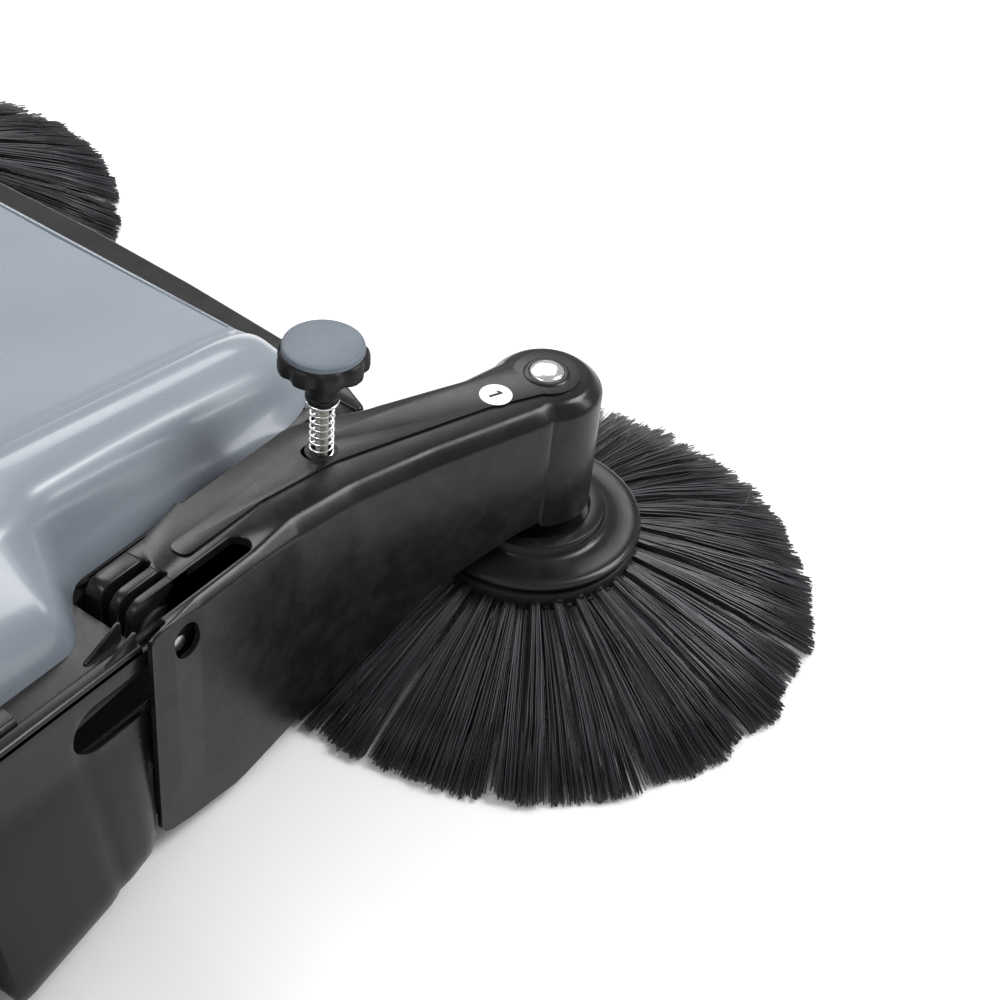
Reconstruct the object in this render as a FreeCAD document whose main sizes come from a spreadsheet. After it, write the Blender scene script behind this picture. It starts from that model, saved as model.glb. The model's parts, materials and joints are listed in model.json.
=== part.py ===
import FreeCAD, Part
import math
import os
import re

import Sketcher

# Walk-behind floor sweeper with one roller brush and two side brushes.
# Frame: +Z up, the machine drives towards -Y, and its right side is at -X.
# The origin is on the floor, under the middle of the whole machine.
# Distances named *_back are measured rearwards from the side brush centres.

SIZES = [
    ("overall_length", 1350), ("handle_height", 1000), ("running_gap", 0.05), ("free_gap", 0.4),
    ("clear_cut", 10), ("clear_span", 60),
    # side brushes
    ("brush_x", 327), ("tip_radius", 200), ("bristle_drop", 38), ("bristle_thick", 6),
    ("ring_radius", 71), ("ring_bore", 24), ("ring_thick", 15), ("flange_radius", 72.3),
    ("flange_low", 57), ("flange_thick", 10), ("collar_radius", 48), ("collar_high", 76),
    ("spindle_radius", 6), ("spindle_top", 168), ("brush_belt_z", 135), ("brush_belt_radius", 10),
    # arms
    ("arm_top", 178), ("arm_skin", 6), ("arm_wall", 3.5), ("head_radius", 36), ("head_low", 84),
    ("head_web", 8), ("boss_radius", 14), ("boss_depth", 24), ("arm_x", 305), ("arm_inner_x", 239),
    ("arm_tail_back", 323), ("arm_low", 12), ("hinge_back", 296), ("hinge_z", 150),
    ("hinge_radius", 5), ("knuckle_radius", 10), ("knuckle_width", 8), ("knuckle_gap", 4),
    ("slot_width", 17), ("slot_back", 225), ("cap_radius", 11), ("cap_high", 5),
    # plan of the arm: where its sides bend, measured back and out
    ("arm_bend_back", 200), ("arm_mid_back", 160), ("arm_mid_out", 6), ("arm_front_back", 105),
    ("arm_neck_back", 41), ("arm_neck_out", 25), ("arm_inner_neck_back", 54),
    ("arm_inner_neck_in", 49), ("arm_inner_mid_back", 98), ("arm_inner_mid_out", 24),
    ("arm_inner_back", 142), ("head_blend", 1),
    # lower edge of the arm's outer wall: places back and heights, from the tail to the head
    ("tail_corner_z", 30), ("heel_back", 259), ("arch_1_back", 210), ("arch_1_z", 22),
    ("arch_2_back", 134), ("arch_2_z", 46), ("arch_3_back", 100), ("arch_3_z", 75),
    ("arch_4_back", 30), ("arch_4_z", 93), ("plate_hole_radius", 13), ("plate_hole_back", 306),
    ("plate_hole_rise", 14), ("inner_side_back", 45),
    # pressure adjusters
    ("rod_x", 272), ("rod_back", 149), ("rod_radius", 4), ("rod_low", 60), ("knob_top", 258),
    ("knob_radius", 26.6), ("knob_thick", 13), ("knob_neck", 22), ("knob_neck_radius", 10),
    ("knob_disc_radius", 23.7), ("knob_disc_thick", 5), ("knob_lobe_radius", 5), ("seat_thick", 2),
    ("washer_radius", 10), ("washer_bore", 6.5), ("washer_thick", 1.6), ("rod_swing", 1.9),
    ("spring_radius", 7.5), ("spring_wire", 1.4), ("scallop_share", 0.55),
    # chassis
    ("deck_top", 165), ("deck_thick", 3), ("chassis_x", 297), ("panel_thick", 4),
    ("tunnel_x", 232), ("tunnel_thick", 4), ("tunnel_low", 30), ("tunnel_front_low", 62), ("bay_back", 322),
    ("chassis_back", 716), ("panel_front", 262), ("panel_low", 25), ("fender_x", 331),
    ("fender_back", 455), ("fender_high", 112), ("beam_front", 60), ("beam_back", 92),
    ("beam_bow", 5), ("beam_low", 72), ("beam_wall", 4), ("beam_x", 174), ("post_x", 253),
    ("lug_width", 44), ("lug_thick", 20), ("lug_top", 92),
    # cover
    ("cover_front", 94), ("cover_back", 522), ("cover_wall", 3), ("cover_front_x", 232), ("cover_bay_x", 235),
    ("cover_rear_x", 272), ("cover_crease_x", 152), ("cover_front_z", 178), ("cover_rear_z", 238),
    ("shoulder_rise", 22),
    # wheels and drive
    ("axle_back", 600), ("wheel_radius", 125), ("tyre_thick", 25), ("wheel_width", 38),
    ("wheel_x", 324), ("axle_radius", 7), ("sleeve_radius", 14), ("sleeve_gap", 4),
    ("belt_radius", 2.5), ("arm_belt_radius", 2), ("wheel_belt_x", 286), ("arm_belt_x", 276),
    ("wheel_belt_pitch", 20), ("hinge_belt_pitch", 10), ("arm_belt_pitch", 14),
    ("gear_x", 264), ("gear_width", 10), ("gear_module", 1.6), ("counter_radius", 4),
    ("roller_belt_x", 249), ("pinion_belt_pitch", 22), ("roller_belt_pitch", 22),
    ("pulley_lip", 1),
    # roller brush
    ("roller_back", 430), ("roller_radius", 90), ("roller_core", 35), ("roller_half", 222),
    ("roller_row", 9), ("roller_shaft", 6), ("bearing_radius", 14),
    # caster
    ("caster_back", 135), ("caster_trail", 22), ("caster_radius", 32), ("caster_width", 24),
    ("caster_fork_wall", 3), ("caster_stem", 8), ("caster_axle", 4), ("caster_plate_z", 88),
    # handle
    ("pivot_back", 640), ("pivot_z", 195), ("handle_x", 250), ("tube_radius", 12.5),
    ("tube_wall", 2), ("bend_radius", 70), ("grip_radius", 16), ("grip_length", 130),
    ("grip_x", 45), ("bracket_thick", 4), ("bracket_width", 44), ("clamp_bolt", 4),
    ("clamp_radius", 20), ("clamp_thick", 16),
    # dust bin
    ("bin_front", 532), ("bin_back", 712), ("bin_x", 214), ("bin_low", 34), ("bin_top", 206),
    ("bin_wall", 3), ("bin_rim", 10), ("bail_radius", 5), ("bail_x", 90), ("bail_reach", 60),
]
GEAR_TEETH = 36
PINION_TEETH = 18
KNOB_LOBES = 8
ROLLER_ROWS = 6

doc = FreeCAD.newDocument("sweeper")
sheet = doc.addObject("Spreadsheet::Sheet", "Sizes")
for row, (alias, size) in enumerate(SIZES, start=1):
    sheet.set(f"A{row}", alias)
    sheet.set(f"B{row}", str(size))
    sheet.setAlias(f"B{row}", alias)
doc.recompute()

V = FreeCAD.Vector
UPRIGHT = FreeCAD.Rotation(V(1, 0, 0), V(0, 0, 1), V(0, -1, 0), "ZXY")   # sketch X, Y -> X, Z
SIDEWAYS = FreeCAD.Rotation(V(0, 1, 0), V(0, 0, 1), V(1, 0, 0), "ZXY")   # sketch X, Y -> Y, Z
ACROSS = FreeCAD.Rotation(V(0, 1, 0), V(1, 0, 0), V(0, 0, -1), "ZXY")    # sketch X, Y -> Y, X
FLAT = FreeCAD.Rotation()
BRUSH_Y = "(Sizes.tip_radius - Sizes.overall_length / 2)"
ALIASES = {alias for alias, _ in SIZES}
WORD = re.compile(r"(?<![\w.])[A-Za-z_]\w*")
nodes = []


def cells(text):
    """Write the sheet's name before each alias in an expression."""
    return WORD.sub(lambda found: ("Sizes." if found[0] in ALIASES else "") + found[0], text)


def back(text):
    """Row Y of a place measured rearwards from the side brush centres."""
    return f"{BRUSH_Y} + {text}"


def value(text):
    """The number that an expression gives with the present sizes."""
    return float(sheet.evalExpression(cells(text)))


def bind(thing, prop, text):
    thing.setExpression(prop, cells(text))


def place(thing, where, turn=FLAT):
    """Put an object at three expressions, turned."""
    thing.Placement = FreeCAD.Placement(V(*[value(text) for text in where]), turn)
    for axis, text in zip("xyz", where):
        bind(thing, f"Placement.Base.{axis}", text)
    return thing


def node(thing, label):
    """Name a finished sub-part."""
    thing.Label = label
    nodes.append(thing)
    return thing


def outline(body, points, name):
    """A closed outline in a body's own XY plane, each corner bound to its expressions."""
    sketch = body.newObject("Sketcher::SketchObject", name)
    plane = [p for p in body.Origin.OriginFeatures if p.Role == "XY_Plane"][0]
    sketch.AttachmentSupport = [(plane, "")]
    sketch.MapMode = "FlatFace"
    corners = [V(value(px), value(py), 0) for px, py in points]
    last = len(corners) - 1
    for i, corner in enumerate(corners):
        following = corners[0 if i == last else i + 1]
        sketch.addGeometry(Part.LineSegment(corner, following), False)
    for i in range(len(corners)):
        following = 0 if i == last else i + 1
        sketch.addConstraint(Sketcher.Constraint("Coincident", i, 2, following, 1))
    for i, (px, py) in enumerate(points):
        for kind, text, size in (("DistanceX", px, corners[i].x), ("DistanceY", py, corners[i].y)):
            index = sketch.addConstraint(Sketcher.Constraint(kind, -1, 1, i, 1, size))
            bind(sketch, f"Constraints[{index}]", text)
    return sketch


def turned(name, points, where, turn=UPRIGHT):
    """A body turned from a profile of radius and height about its own axis."""
    body = doc.addObject("PartDesign::Body", name)
    profile = outline(body, points, name + "_profile")
    revolution = body.newObject("PartDesign::Revolution", name + "_turn")
    revolution.Profile = profile
    revolution.ReferenceAxis = (profile, ["V_Axis"])
    revolution.Angle = 360
    return place(body, where, turn)


def padded(name, points, length, where, turn=FLAT):
    """A body padded from an outline."""
    body = doc.addObject("PartDesign::Body", name)
    profile = outline(body, points, name + "_outline")
    pad = body.newObject("PartDesign::Pad", name + "_pad")
    pad.Profile = profile
    bind(pad, "Length", length)
    return place(body, where, turn)


def box(name, low, high):
    """A box between two corners given as expressions."""
    thing = doc.addObject("Part::Box", name)
    for prop, lo, hi in zip(("Length", "Width", "Height"), low, high):
        bind(thing, prop, f"({hi}) - ({lo})")
    return place(thing, low)


def rod(name, radius, low, length, along="z"):
    """A cylinder from its low end along x, y or z."""
    thing = doc.addObject("Part::Cylinder", name)
    bind(thing, "Radius", radius)
    bind(thing, "Height", length)
    turns = {"z": FLAT, "x": FreeCAD.Rotation(V(0, 1, 0), 90), "y": FreeCAD.Rotation(V(1, 0, 0), -90)}
    return place(thing, low, turns[along])


def fuse(name, *things):
    thing = doc.addObject("Part::MultiFuse", name)
    thing.Shapes = list(things)
    thing.Refine = True
    return thing


def cut(name, base, *tools):
    tool = tools[0] if len(tools) == 1 else fuse(name + "_tools", *tools)
    thing = doc.addObject("Part::Cut", name)
    thing.Base = base
    thing.Tool = tool
    thing.Refine = True
    return thing


def mirrored(source, label):
    """The left-hand twin of a right-hand piece."""
    thing = doc.addObject("Part::Mirroring", label)
    thing.Source = source
    thing.Normal = V(1, 0, 0)
    thing.Base = V(0, 0, 0)
    return node(thing, label)


def pair(thing, label):
    """A piece for the right side and its twin for the left."""
    node(thing, label + "_right")
    mirrored(thing, label + "_left")


def group(thing, label):
    """Both twins of a small piece in one node."""
    twin = doc.addObject("Part::Mirroring", label + "_twin")
    twin.Source = thing
    twin.Normal = V(1, 0, 0)
    both = doc.addObject("Part::Compound", label)
    both.Links = [thing, twin]
    return node(both, label)


def coded(shape, label):
    """A piece whose shape is worked out in code from the sheet's sizes."""
    thing = doc.addObject("Part::Feature", label)
    thing.Shape = shape
    thing.Placement = FreeCAD.Placement(V(0, 0, 0), FLAT)
    return node(thing, label)


def groove(bore, pitch, wire, half, spread):
    """Profile of a belt pulley: bore, belt centre radius, belt radius, half width, groove spread."""
    floor = f"{pitch} - {wire} - free_gap"
    rim = f"{pitch} + 1.2"
    return [(bore, f"-({half})"), (rim, f"-({half})"), (rim, f"-({wire} + {spread})"),
            (floor, f"-({wire} + {spread})"), (floor, f"{wire} + {spread}"),
            (rim, f"{wire} + {spread}"), (rim, half), (bore, half)]


# ---- side brushes -------------------------------------------------------------------------

def side_brush():
    centre = ("-brush_x", BRUSH_Y, "0")
    root = "bristle_drop"
    bristles = turned("bristles", [
        ("ring_bore + 20", root), ("ring_radius - 1", root), ("tip_radius", "bristle_thick"),
        ("tip_radius", "0"), ("tip_radius - 14", "0"), ("ring_bore + 20", f"{root} - 10")], centre)
    pair(bristles, "side_brush_bristles")
    ring_top = "bristle_drop + ring_thick"
    ring = turned("ring", [("ring_bore", root), ("ring_radius", root), ("ring_radius", ring_top),
                           ("ring_bore", ring_top)], centre)
    pair(ring, "bristle_ring")
    flange_top = "flange_low + flange_thick"
    flange = turned("flange", [
        ("spindle_radius", root), ("ring_bore", root), ("ring_bore", ring_top),
        ("ring_radius - 12", ring_top), ("ring_radius - 12", "flange_low"),
        ("flange_radius", "flange_low"), ("flange_radius", f"{flange_top} - 4"),
        ("flange_radius - 6", flange_top), ("collar_radius", flange_top),
        ("collar_radius", "collar_high"), ("spindle_radius", "collar_high")], centre)
    pair(flange, "brush_flange")
    belt_z = "brush_belt_z"
    rim = "brush_belt_radius + pulley_lip"
    floor = "brush_belt_radius - arm_belt_radius - free_gap"
    half = "arm_belt_radius + 1.2"
    spindle = turned("spindle", [
        ("0", f"{root} - 6"), ("spindle_radius + 6", f"{root} - 6"), ("spindle_radius + 6", root),
        ("spindle_radius", root), ("spindle_radius", f"{belt_z} - {half} - 4"),
        (rim, f"{belt_z} - {half} - 4"), (rim, f"{belt_z} - ({half})"),
        (floor, f"{belt_z} - ({half})"), (floor, f"{belt_z} + {half}"), (rim, f"{belt_z} + {half}"),
        (rim, f"{belt_z} + {half} + 2"), ("spindle_radius", f"{belt_z} + {half} + 2"),
        ("spindle_radius", "spindle_top"), ("0", "spindle_top")], centre)
    pair(spindle, "brush_spindle")


# ---- arms ---------------------------------------------------------------------------------

def arm_outline(inset):
    """Plan of the arm: straight behind the adjuster, then bent outwards to the head."""
    knuckle_end = back(f"hinge_back + knuckle_radius - {inset}")
    return [(f"-arm_x + {inset}", back(f"arm_tail_back - {inset}")),
            (f"-arm_x + {inset}", back("arm_bend_back")),
            (f"-arm_x - arm_mid_out + {inset}", back("arm_mid_back")),
            (f"-brush_x + head_blend * 2 + {inset}", back("arm_front_back")),
            (f"-brush_x - arm_neck_out + {inset}", back("arm_neck_back")),
            (f"-brush_x - head_radius + head_blend + {inset}", BRUSH_Y),
            (f"-brush_x + head_radius - head_blend - {inset}", BRUSH_Y),
            (f"-brush_x + arm_inner_neck_in - {inset}", back("arm_inner_neck_back")),
            (f"-arm_inner_x - arm_inner_mid_out - {inset}", back("arm_inner_mid_back")),
            (f"-arm_inner_x - {inset}", back("arm_inner_back")),
            (f"-arm_inner_x - {inset}", knuckle_end),
            (f"-arm_x + arm_wall + {inset}", knuckle_end),
            (f"-arm_x + arm_wall + {inset} / 4", back(f"arm_tail_back - {inset}"))]


def knuckle(index):
    """One finger of the arm's hinge, round about the pin and joined to the arm's skin."""
    low = f"-arm_inner_x - (knuckle_width + knuckle_gap) * {index} - knuckle_width"
    eye = rod(f"knuckle_eye_{index}", "knuckle_radius", (low, back("hinge_back"), "hinge_z"),
              "knuckle_width", "x")
    web = box(f"knuckle_web_{index}", (low, back("hinge_back - knuckle_radius"), "hinge_z"),
              (f"{low} + knuckle_width", back("hinge_back + knuckle_radius"), "arm_top - 1"))
    return [eye, web]


def arm_housing():
    solid = padded("arm_plan", arm_outline("0"), "arm_top - arm_low", ("0", "0", "arm_low"))
    ahead, behind = back("-clear_span"), back("arm_tail_back + clear_cut")
    arch = padded("arm_arch", [
        (ahead, "0"), (behind, "0"), (behind, "tail_corner_z + clear_cut"),
        (back("arm_tail_back"), "tail_corner_z"), (back("heel_back"), "arm_low"),
        (back("arch_1_back"), "arch_1_z"), (back("arch_2_back"), "arch_2_z"),
        (back("arch_3_back"), "arch_3_z"), (back("arch_4_back"), "arch_4_z"), (ahead, "arch_4_z")],
        "arm_x - clear_span", ("-arm_x - clear_span * 2", "0", "0"), SIDEWAYS)
    shell = cut("arm_arched", solid, arch)
    head = rod("arm_head", "head_radius", ("-brush_x", BRUSH_Y, "head_low"), "arm_top - head_low")
    solid = fuse("arm_solid", shell, head)
    hollow = padded("arm_hollow", arm_outline("arm_wall"), "arm_top - arm_skin + clear_cut",
                    ("0", "0", "-clear_cut"))
    head_hollow = rod("head_hollow", "head_radius - arm_wall",
                      ("-brush_x", BRUSH_Y, "head_low + head_web"),
                      "arm_top - arm_skin - head_low - head_web")
    inner_side = box("arm_inner_side", ("-arm_x + arm_wall * 2", back("inner_side_back"), "0"),
                     ("-arm_inner_x + clear_cut", back("arm_tail_back + clear_cut"), "hinge_z"))
    tail = box("arm_tail", ("-arm_x + arm_wall", back("hinge_back + 4"), "0"),
               ("-arm_inner_x - (knuckle_width + knuckle_gap) * 3 + knuckle_gap",
                back("arm_tail_back + clear_cut"), "arm_top + 1"))
    slot_x = "-arm_belt_x - 8 - slot_width / 2 + 4"
    slot = box("arm_slot", (slot_x, back("slot_back"), "arm_top - arm_skin - 1"),
               (f"{slot_x} + slot_width", back("arm_tail_back + clear_cut"), "arm_top + 1"))
    gaps = [box(f"knuckle_cut_{i}",
                (f"-arm_inner_x - (knuckle_width + knuckle_gap) * {i} - knuckle_width - knuckle_gap",
                 back("hinge_back - knuckle_radius - 1"), "hinge_z - knuckle_radius - 1"),
                (f"-arm_inner_x - (knuckle_width + knuckle_gap) * {i} - knuckle_width",
                 back("arm_tail_back + clear_cut"), "arm_top + 1")) for i in range(2)]
    rod_hole = rod("rod_hole", "rod_radius * 2", ("-rod_x", back("rod_back - rod_swing"), "100"),
                   "100")
    shell = cut("arm_shell", solid, hollow, head_hollow, inner_side, tail, slot, rod_hole, *gaps)
    fingers = [piece for index in range(3) for piece in knuckle(index)]
    boss = rod("head_boss", "boss_radius", ("-brush_x", BRUSH_Y, "arm_top - boss_depth"),
               "boss_depth - 1")
    solid = fuse("arm_with_boss", shell, boss, *fingers)
    pin_bore = rod("pin_bore", "hinge_radius + running_gap",
                   ("-arm_x - 5", back("hinge_back"), "hinge_z"), "80", "x")
    plate_hole = rod("plate_hole", "plate_hole_radius",
                     ("-arm_x - 5", back("plate_hole_back"), "hinge_z + plate_hole_rise"), "20", "x")
    spindle_bore = rod("spindle_bore", "spindle_radius + running_gap",
                       ("-brush_x", BRUSH_Y, "head_low - 5"), "spindle_top + 1 - head_low + 5")
    pair(cut("arm_bored", solid, pin_bore, plate_hole, spindle_bore), "arm_housing")


def arm_details():
    washer_where = ("-rod_x", back("rod_back"), "arm_top")
    bore_where = ("-rod_x", back("rod_back - rod_swing"), "arm_top")
    washer = cut("washer", rod("washer_disc", "washer_radius", washer_where, "washer_thick"),
                 rod("washer_hole", "washer_bore", bore_where, "washer_thick"))
    pair(washer, "spring_washer")
    cap = turned("cap", [("0", "0"), ("cap_radius", "0"), ("cap_radius", "cap_high * 0.4"),
                         ("cap_radius * 0.8", "cap_high * 0.8"), ("cap_radius * 0.4", "cap_high"),
                         ("0", "cap_high")], ("-brush_x", BRUSH_Y, "arm_top"))
    pair(cap, "head_cap")


# ---- pressure adjusters -------------------------------------------------------------------

def adjuster():
    foot = "knob_top - knob_disc_thick - knob_thick - knob_neck"
    where = ("-rod_x", back("rod_back"), "0")
    under = "knob_top - knob_disc_thick - knob_thick"
    star = turned("knob_blank", [
        ("rod_radius", foot), ("knob_neck_radius", foot), ("knob_neck_radius + 6", under),
        ("knob_radius", under), ("knob_radius", "knob_top - knob_disc_thick"),
        ("0", "knob_top - knob_disc_thick"), ("0", f"{under}"), ("rod_radius", f"{under}")], where)
    lobes = []
    for i in range(KNOB_LOBES):
        angle = 360 * i / KNOB_LOBES
        lobes.append(rod(f"knob_scallop_{i}", "knob_lobe_radius",
                         (f"-rod_x + (knob_radius + knob_lobe_radius * scallop_share) * cos({angle} deg)",
                          back(f"rod_back + (knob_radius + knob_lobe_radius * scallop_share)"
                               f" * sin({angle} deg)"), f"{under} - 1"), "knob_thick + 2"))
    pair(cut("knob_star", star, *lobes), "adjuster_knob")
    disc = rod("knob_disc", "knob_disc_radius", ("-rod_x", back("rod_back"),
                                                "knob_top - knob_disc_thick"), "knob_disc_thick")
    pair(disc, "knob_disc")
    thread = rod("thread", "rod_radius", ("-rod_x", back("rod_back"), "rod_low"),
                 f"{under} - rod_low")
    pair(thread, "adjuster_rod")
    seat = turned("seat", [
        ("rod_radius + running_gap", f"{foot} - free_gap - seat_thick"),
        ("knob_neck_radius", f"{foot} - free_gap - seat_thick"),
        ("knob_neck_radius", f"{foot} - free_gap"),
        ("rod_radius + running_gap", f"{foot} - free_gap")], where)
    pair(seat, "spring_seat")
    spring_top = f"{foot} - free_gap - seat_thick"
    spring_low = "arm_top + washer_thick"
    spring = turned("spring", [("spring_radius - spring_wire", spring_low),
                               ("spring_radius", spring_low), ("spring_radius", spring_top),
                               ("spring_radius - spring_wire", spring_top)], where)
    pair(spring, "adjuster_spring")


# ---- chassis ------------------------------------------------------------------------------

def chassis_deck():
    deck_low = "deck_top - deck_thick"
    plate = padded("deck_plate", [
        ("-tunnel_x - 4", back("beam_back")), ("-tunnel_x - 4", back("bay_back")),
        ("-chassis_x", back("bay_back")), ("-chassis_x", back("chassis_back")),
        ("chassis_x", back("chassis_back")), ("chassis_x", back("bay_back")),
        ("tunnel_x + 4", back("bay_back")), ("tunnel_x + 4", back("beam_back"))],
        "deck_thick", ("0", "0", deck_low))
    opening = box("deck_opening", ("-tunnel_x + tunnel_thick", back("beam_back + 20"), "deck_top - 20"),
                  ("tunnel_x - tunnel_thick", back("chassis_back + 1"), "deck_top + 20"))
    solid = cut("deck_ring", plate, opening)
    pieces = [solid]
    for side in (-1, 1):
        low = "-tunnel_x" if side < 0 else "tunnel_x - tunnel_thick"
        pieces.append(padded(f"tunnel_{side + 1}", [
            (back("beam_back"), "tunnel_front_low"), (back("170"), "tunnel_front_low"),
            (back("230"), "tunnel_low"), (back("chassis_back"), "tunnel_low"),
            (back("chassis_back"), deck_low), (back("beam_back"), deck_low)],
            "tunnel_thick", (low, "0", "0"), SIDEWAYS))
        lip_out = "wheel_belt_x - belt_radius * 3"
        pieces.append(padded(f"bay_wall_{side + 1}", [
            (f"{side} * tunnel_x", back("bay_back")), (f"{side} * ({lip_out})", back("bay_back")),
            (f"{side} * ({lip_out})", back("bay_back + 4")),
            (f"{side} * tunnel_x", back("bay_back + 4"))], "14", ("0", "0", f"{deck_low} - 14")))
        inner = "-tunnel_x" if side < 0 else "tunnel_x"
        outer = "-tunnel_x - lug_width - 6" if side < 0 else "tunnel_x + lug_width + 6"
        pieces.append(box(f"rod_lug_{side + 1}",
                          (outer if side < 0 else inner, back("rod_back - 12"), "lug_top - lug_thick"),
                          (inner if side < 0 else outer, back("rod_back + 12"), "lug_top")))
    pieces.append(box("caster_plate", ("-tunnel_x + tunnel_thick", back("beam_back"), "caster_plate_z"),
                      ("tunnel_x - tunnel_thick", back("caster_back + 45"), "caster_plate_z + 5")))
    pieces.append(box("roof", ("-tunnel_x + tunnel_thick", back("beam_back"), "caster_plate_z + 5"),
                      ("tunnel_x - tunnel_thick", back("beam_back + 4"), deck_low)))
    solid = fuse("deck_solid", *pieces)
    holes = [rod("caster_hole", "caster_stem + running_gap", ("0", back("caster_back"),
                                                            "caster_plate_z - 2"), "12")]
    span = "2 * chassis_x"
    holes.append(rod("hinge_holes", "hinge_radius", ("-chassis_x", back("hinge_back"), "hinge_z"),
                     span, "x"))
    holes.append(rod("bearing_holes", "bearing_radius", ("-chassis_x", back("roller_back"),
                                                        "roller_radius"), span, "x"))
    holes.append(rod("axle_holes", "axle_radius", ("-chassis_x", back("axle_back"), "wheel_radius"),
                     span, "x"))
    where = pinion_place()
    holes.append(rod("counter_hole", "counter_radius", ("-chassis_x", where[0], where[1]),
                     "chassis_x", "x"))
    for side in (-1, 1):
        holes.append(rod(f"lug_hole_{side + 1}", "rod_radius + running_gap",
                         (f"{side} * rod_x", back("rod_back"), "lug_top - lug_thick - 1"),
                         "lug_thick + 2"))
    node(cut("deck_bored", solid, *holes), "chassis_deck")


def side_panel():
    panel = padded("panel_plate", [
        (back("panel_front"), "90"), (back("panel_front + 20"), "panel_low"),
        (back("chassis_back"), "panel_low"), (back("chassis_back"), "deck_top - deck_thick"),
        (back("panel_front"), "deck_top - deck_thick")],
        "panel_thick", ("-chassis_x", "0", "0"), SIDEWAYS)
    fender = padded("fender_block", [
        ("-chassis_x + panel_thick / 2", back("319")), ("-fender_x", back("fender_back - 8")),
        ("-fender_x", back("fender_back")), ("-chassis_x + panel_thick / 2", back("fender_back"))],
        "fender_high - panel_low", ("0", "0", "panel_low"))
    fender_hollow = padded("fender_hollow", [
        ("-chassis_x", back("337")), ("-fender_x + panel_thick", back("fender_back - 8")),
        ("-fender_x + panel_thick", back("fender_back - panel_thick")),
        ("-chassis_x", back("fender_back - panel_thick"))],
        "fender_high - panel_low - panel_thick + 1", ("0", "0", "panel_low - 1"))
    solid = cut("panel_solid", fuse("panel_fused", panel, fender), fender_hollow)
    slot_z = "hinge_z - 33"
    slot = box("panel_slot", ("-chassis_x - 1", back("326"), slot_z),
               ("-chassis_x + panel_thick + 1", back("358"), f"{slot_z} + 34"))
    ends = [rod(f"slot_end_{i}", "17", ("-chassis_x - 1", back(place_back), f"{slot_z} + 17"),
                "panel_thick + 2", "x") for i, place_back in enumerate(("326", "358"))]
    sleeve_hole = rod("sleeve_hole", "sleeve_radius + sleeve_gap",
                      ("-chassis_x - 1", back("axle_back"), "wheel_radius"), "panel_thick + 2", "x")
    pin_hole = rod("panel_pin_hole", "hinge_radius",
                   ("-chassis_x - 1", back("hinge_back"), "hinge_z"), "panel_thick + 2", "x")
    pair(cut("panel_cut", solid, slot, sleeve_hole, pin_hole, *ends), "side_panel")


def front_beam():
    def plan(inset):
        right = [(f"-post_x + {inset}", back("beam_back")),
                 (f"-post_x + {inset}", back(f"beam_back - 6 + {inset} / 2")),
                 (f"-beam_x - 58 + {inset} / 2", back(f"beam_front + 17 + {inset}")),
                 (f"-beam_x", back(f"beam_front + 8 + {inset}")),
                 (f"-beam_x / 2", back(f"beam_front + 8 - beam_bow + {inset}"))]
        left = [("-(" + px + ")", py) for px, py in reversed(right)]
        return right + [("0", back(f"beam_front + 8 - beam_bow * 1.4 + {inset}"))] + left
    block = padded("beam_block", plan("0"), "deck_top - beam_low", ("0", "0", "beam_low"))
    hollow = padded("beam_hollow", plan("beam_wall"), "deck_top - beam_low - beam_wall + 1",
                    ("0", "0", "beam_low - 1"))
    node(cut("beam", block, hollow), "front_beam")


def cover_section(name, where_y, half_x, crown, inset):
    """One cross-section of the cover: flat middle panel between two raised shoulders."""
    holder = doc.addObject("PartDesign::Body", name)
    base = f"deck_top - {inset}" if inset != "0" else "deck_top"
    crease = "cover_crease_x"
    right = [(f"-({half_x}) + {inset}", base),
             (f"-({half_x}) + 14 + {inset}", f"deck_top + ({crown} - deck_top) * 0.5"),
             (f"-{crease} - 58 + {inset}", f"{crown} + shoulder_rise * 0.2 - {inset}"),
             (f"-{crease} - 22", f"{crown} + shoulder_rise - {inset}"),
             (f"-{crease} - {inset}", f"{crown} - {inset}")]
    left = [("-(" + px + ")", pz) for px, pz in reversed(right)]
    sketch = outline(holder, right + left, name + "_outline")
    place(holder, ("0", where_y, "0"), UPRIGHT)
    return sketch


def top_cover():
    shells = []
    for name, inset, front, rear in (("cover_out", "0", "cover_front", "cover_back"),
                                     ("cover_in", "cover_wall", "cover_front + cover_wall",
                                      "cover_back - cover_wall")):
        wires = []
        for end, where, half_x, crown in (
                ("front", front, "cover_front_x", "cover_front_z"),
                ("bay", "bay_back - 8", "cover_bay_x",
                 "(cover_front_z + (cover_rear_z - cover_front_z) * 0.51)"),
                ("flare", "bay_back + 24", "cover_rear_x",
                 "(cover_front_z + (cover_rear_z - cover_front_z) * 0.59)"),
                ("rear", rear, "cover_rear_x", "cover_rear_z")):
            wires.append(cover_section(f"{name}_{end}", back(where), half_x, crown, inset))
        doc.recompute()
        edges = []
        for sketch in wires:
            shape = sketch.Shape.copy()
            shape.Placement = sketch.getGlobalPlacement()
            edges.append(Part.Wire(Part.__sortEdges__(shape.Edges)))
        shells.append(Part.makeLoft(edges, True, True))
    coded(shells[0].cut(shells[1]), "top_cover")


# ---- wheels and drive ---------------------------------------------------------------------

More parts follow.
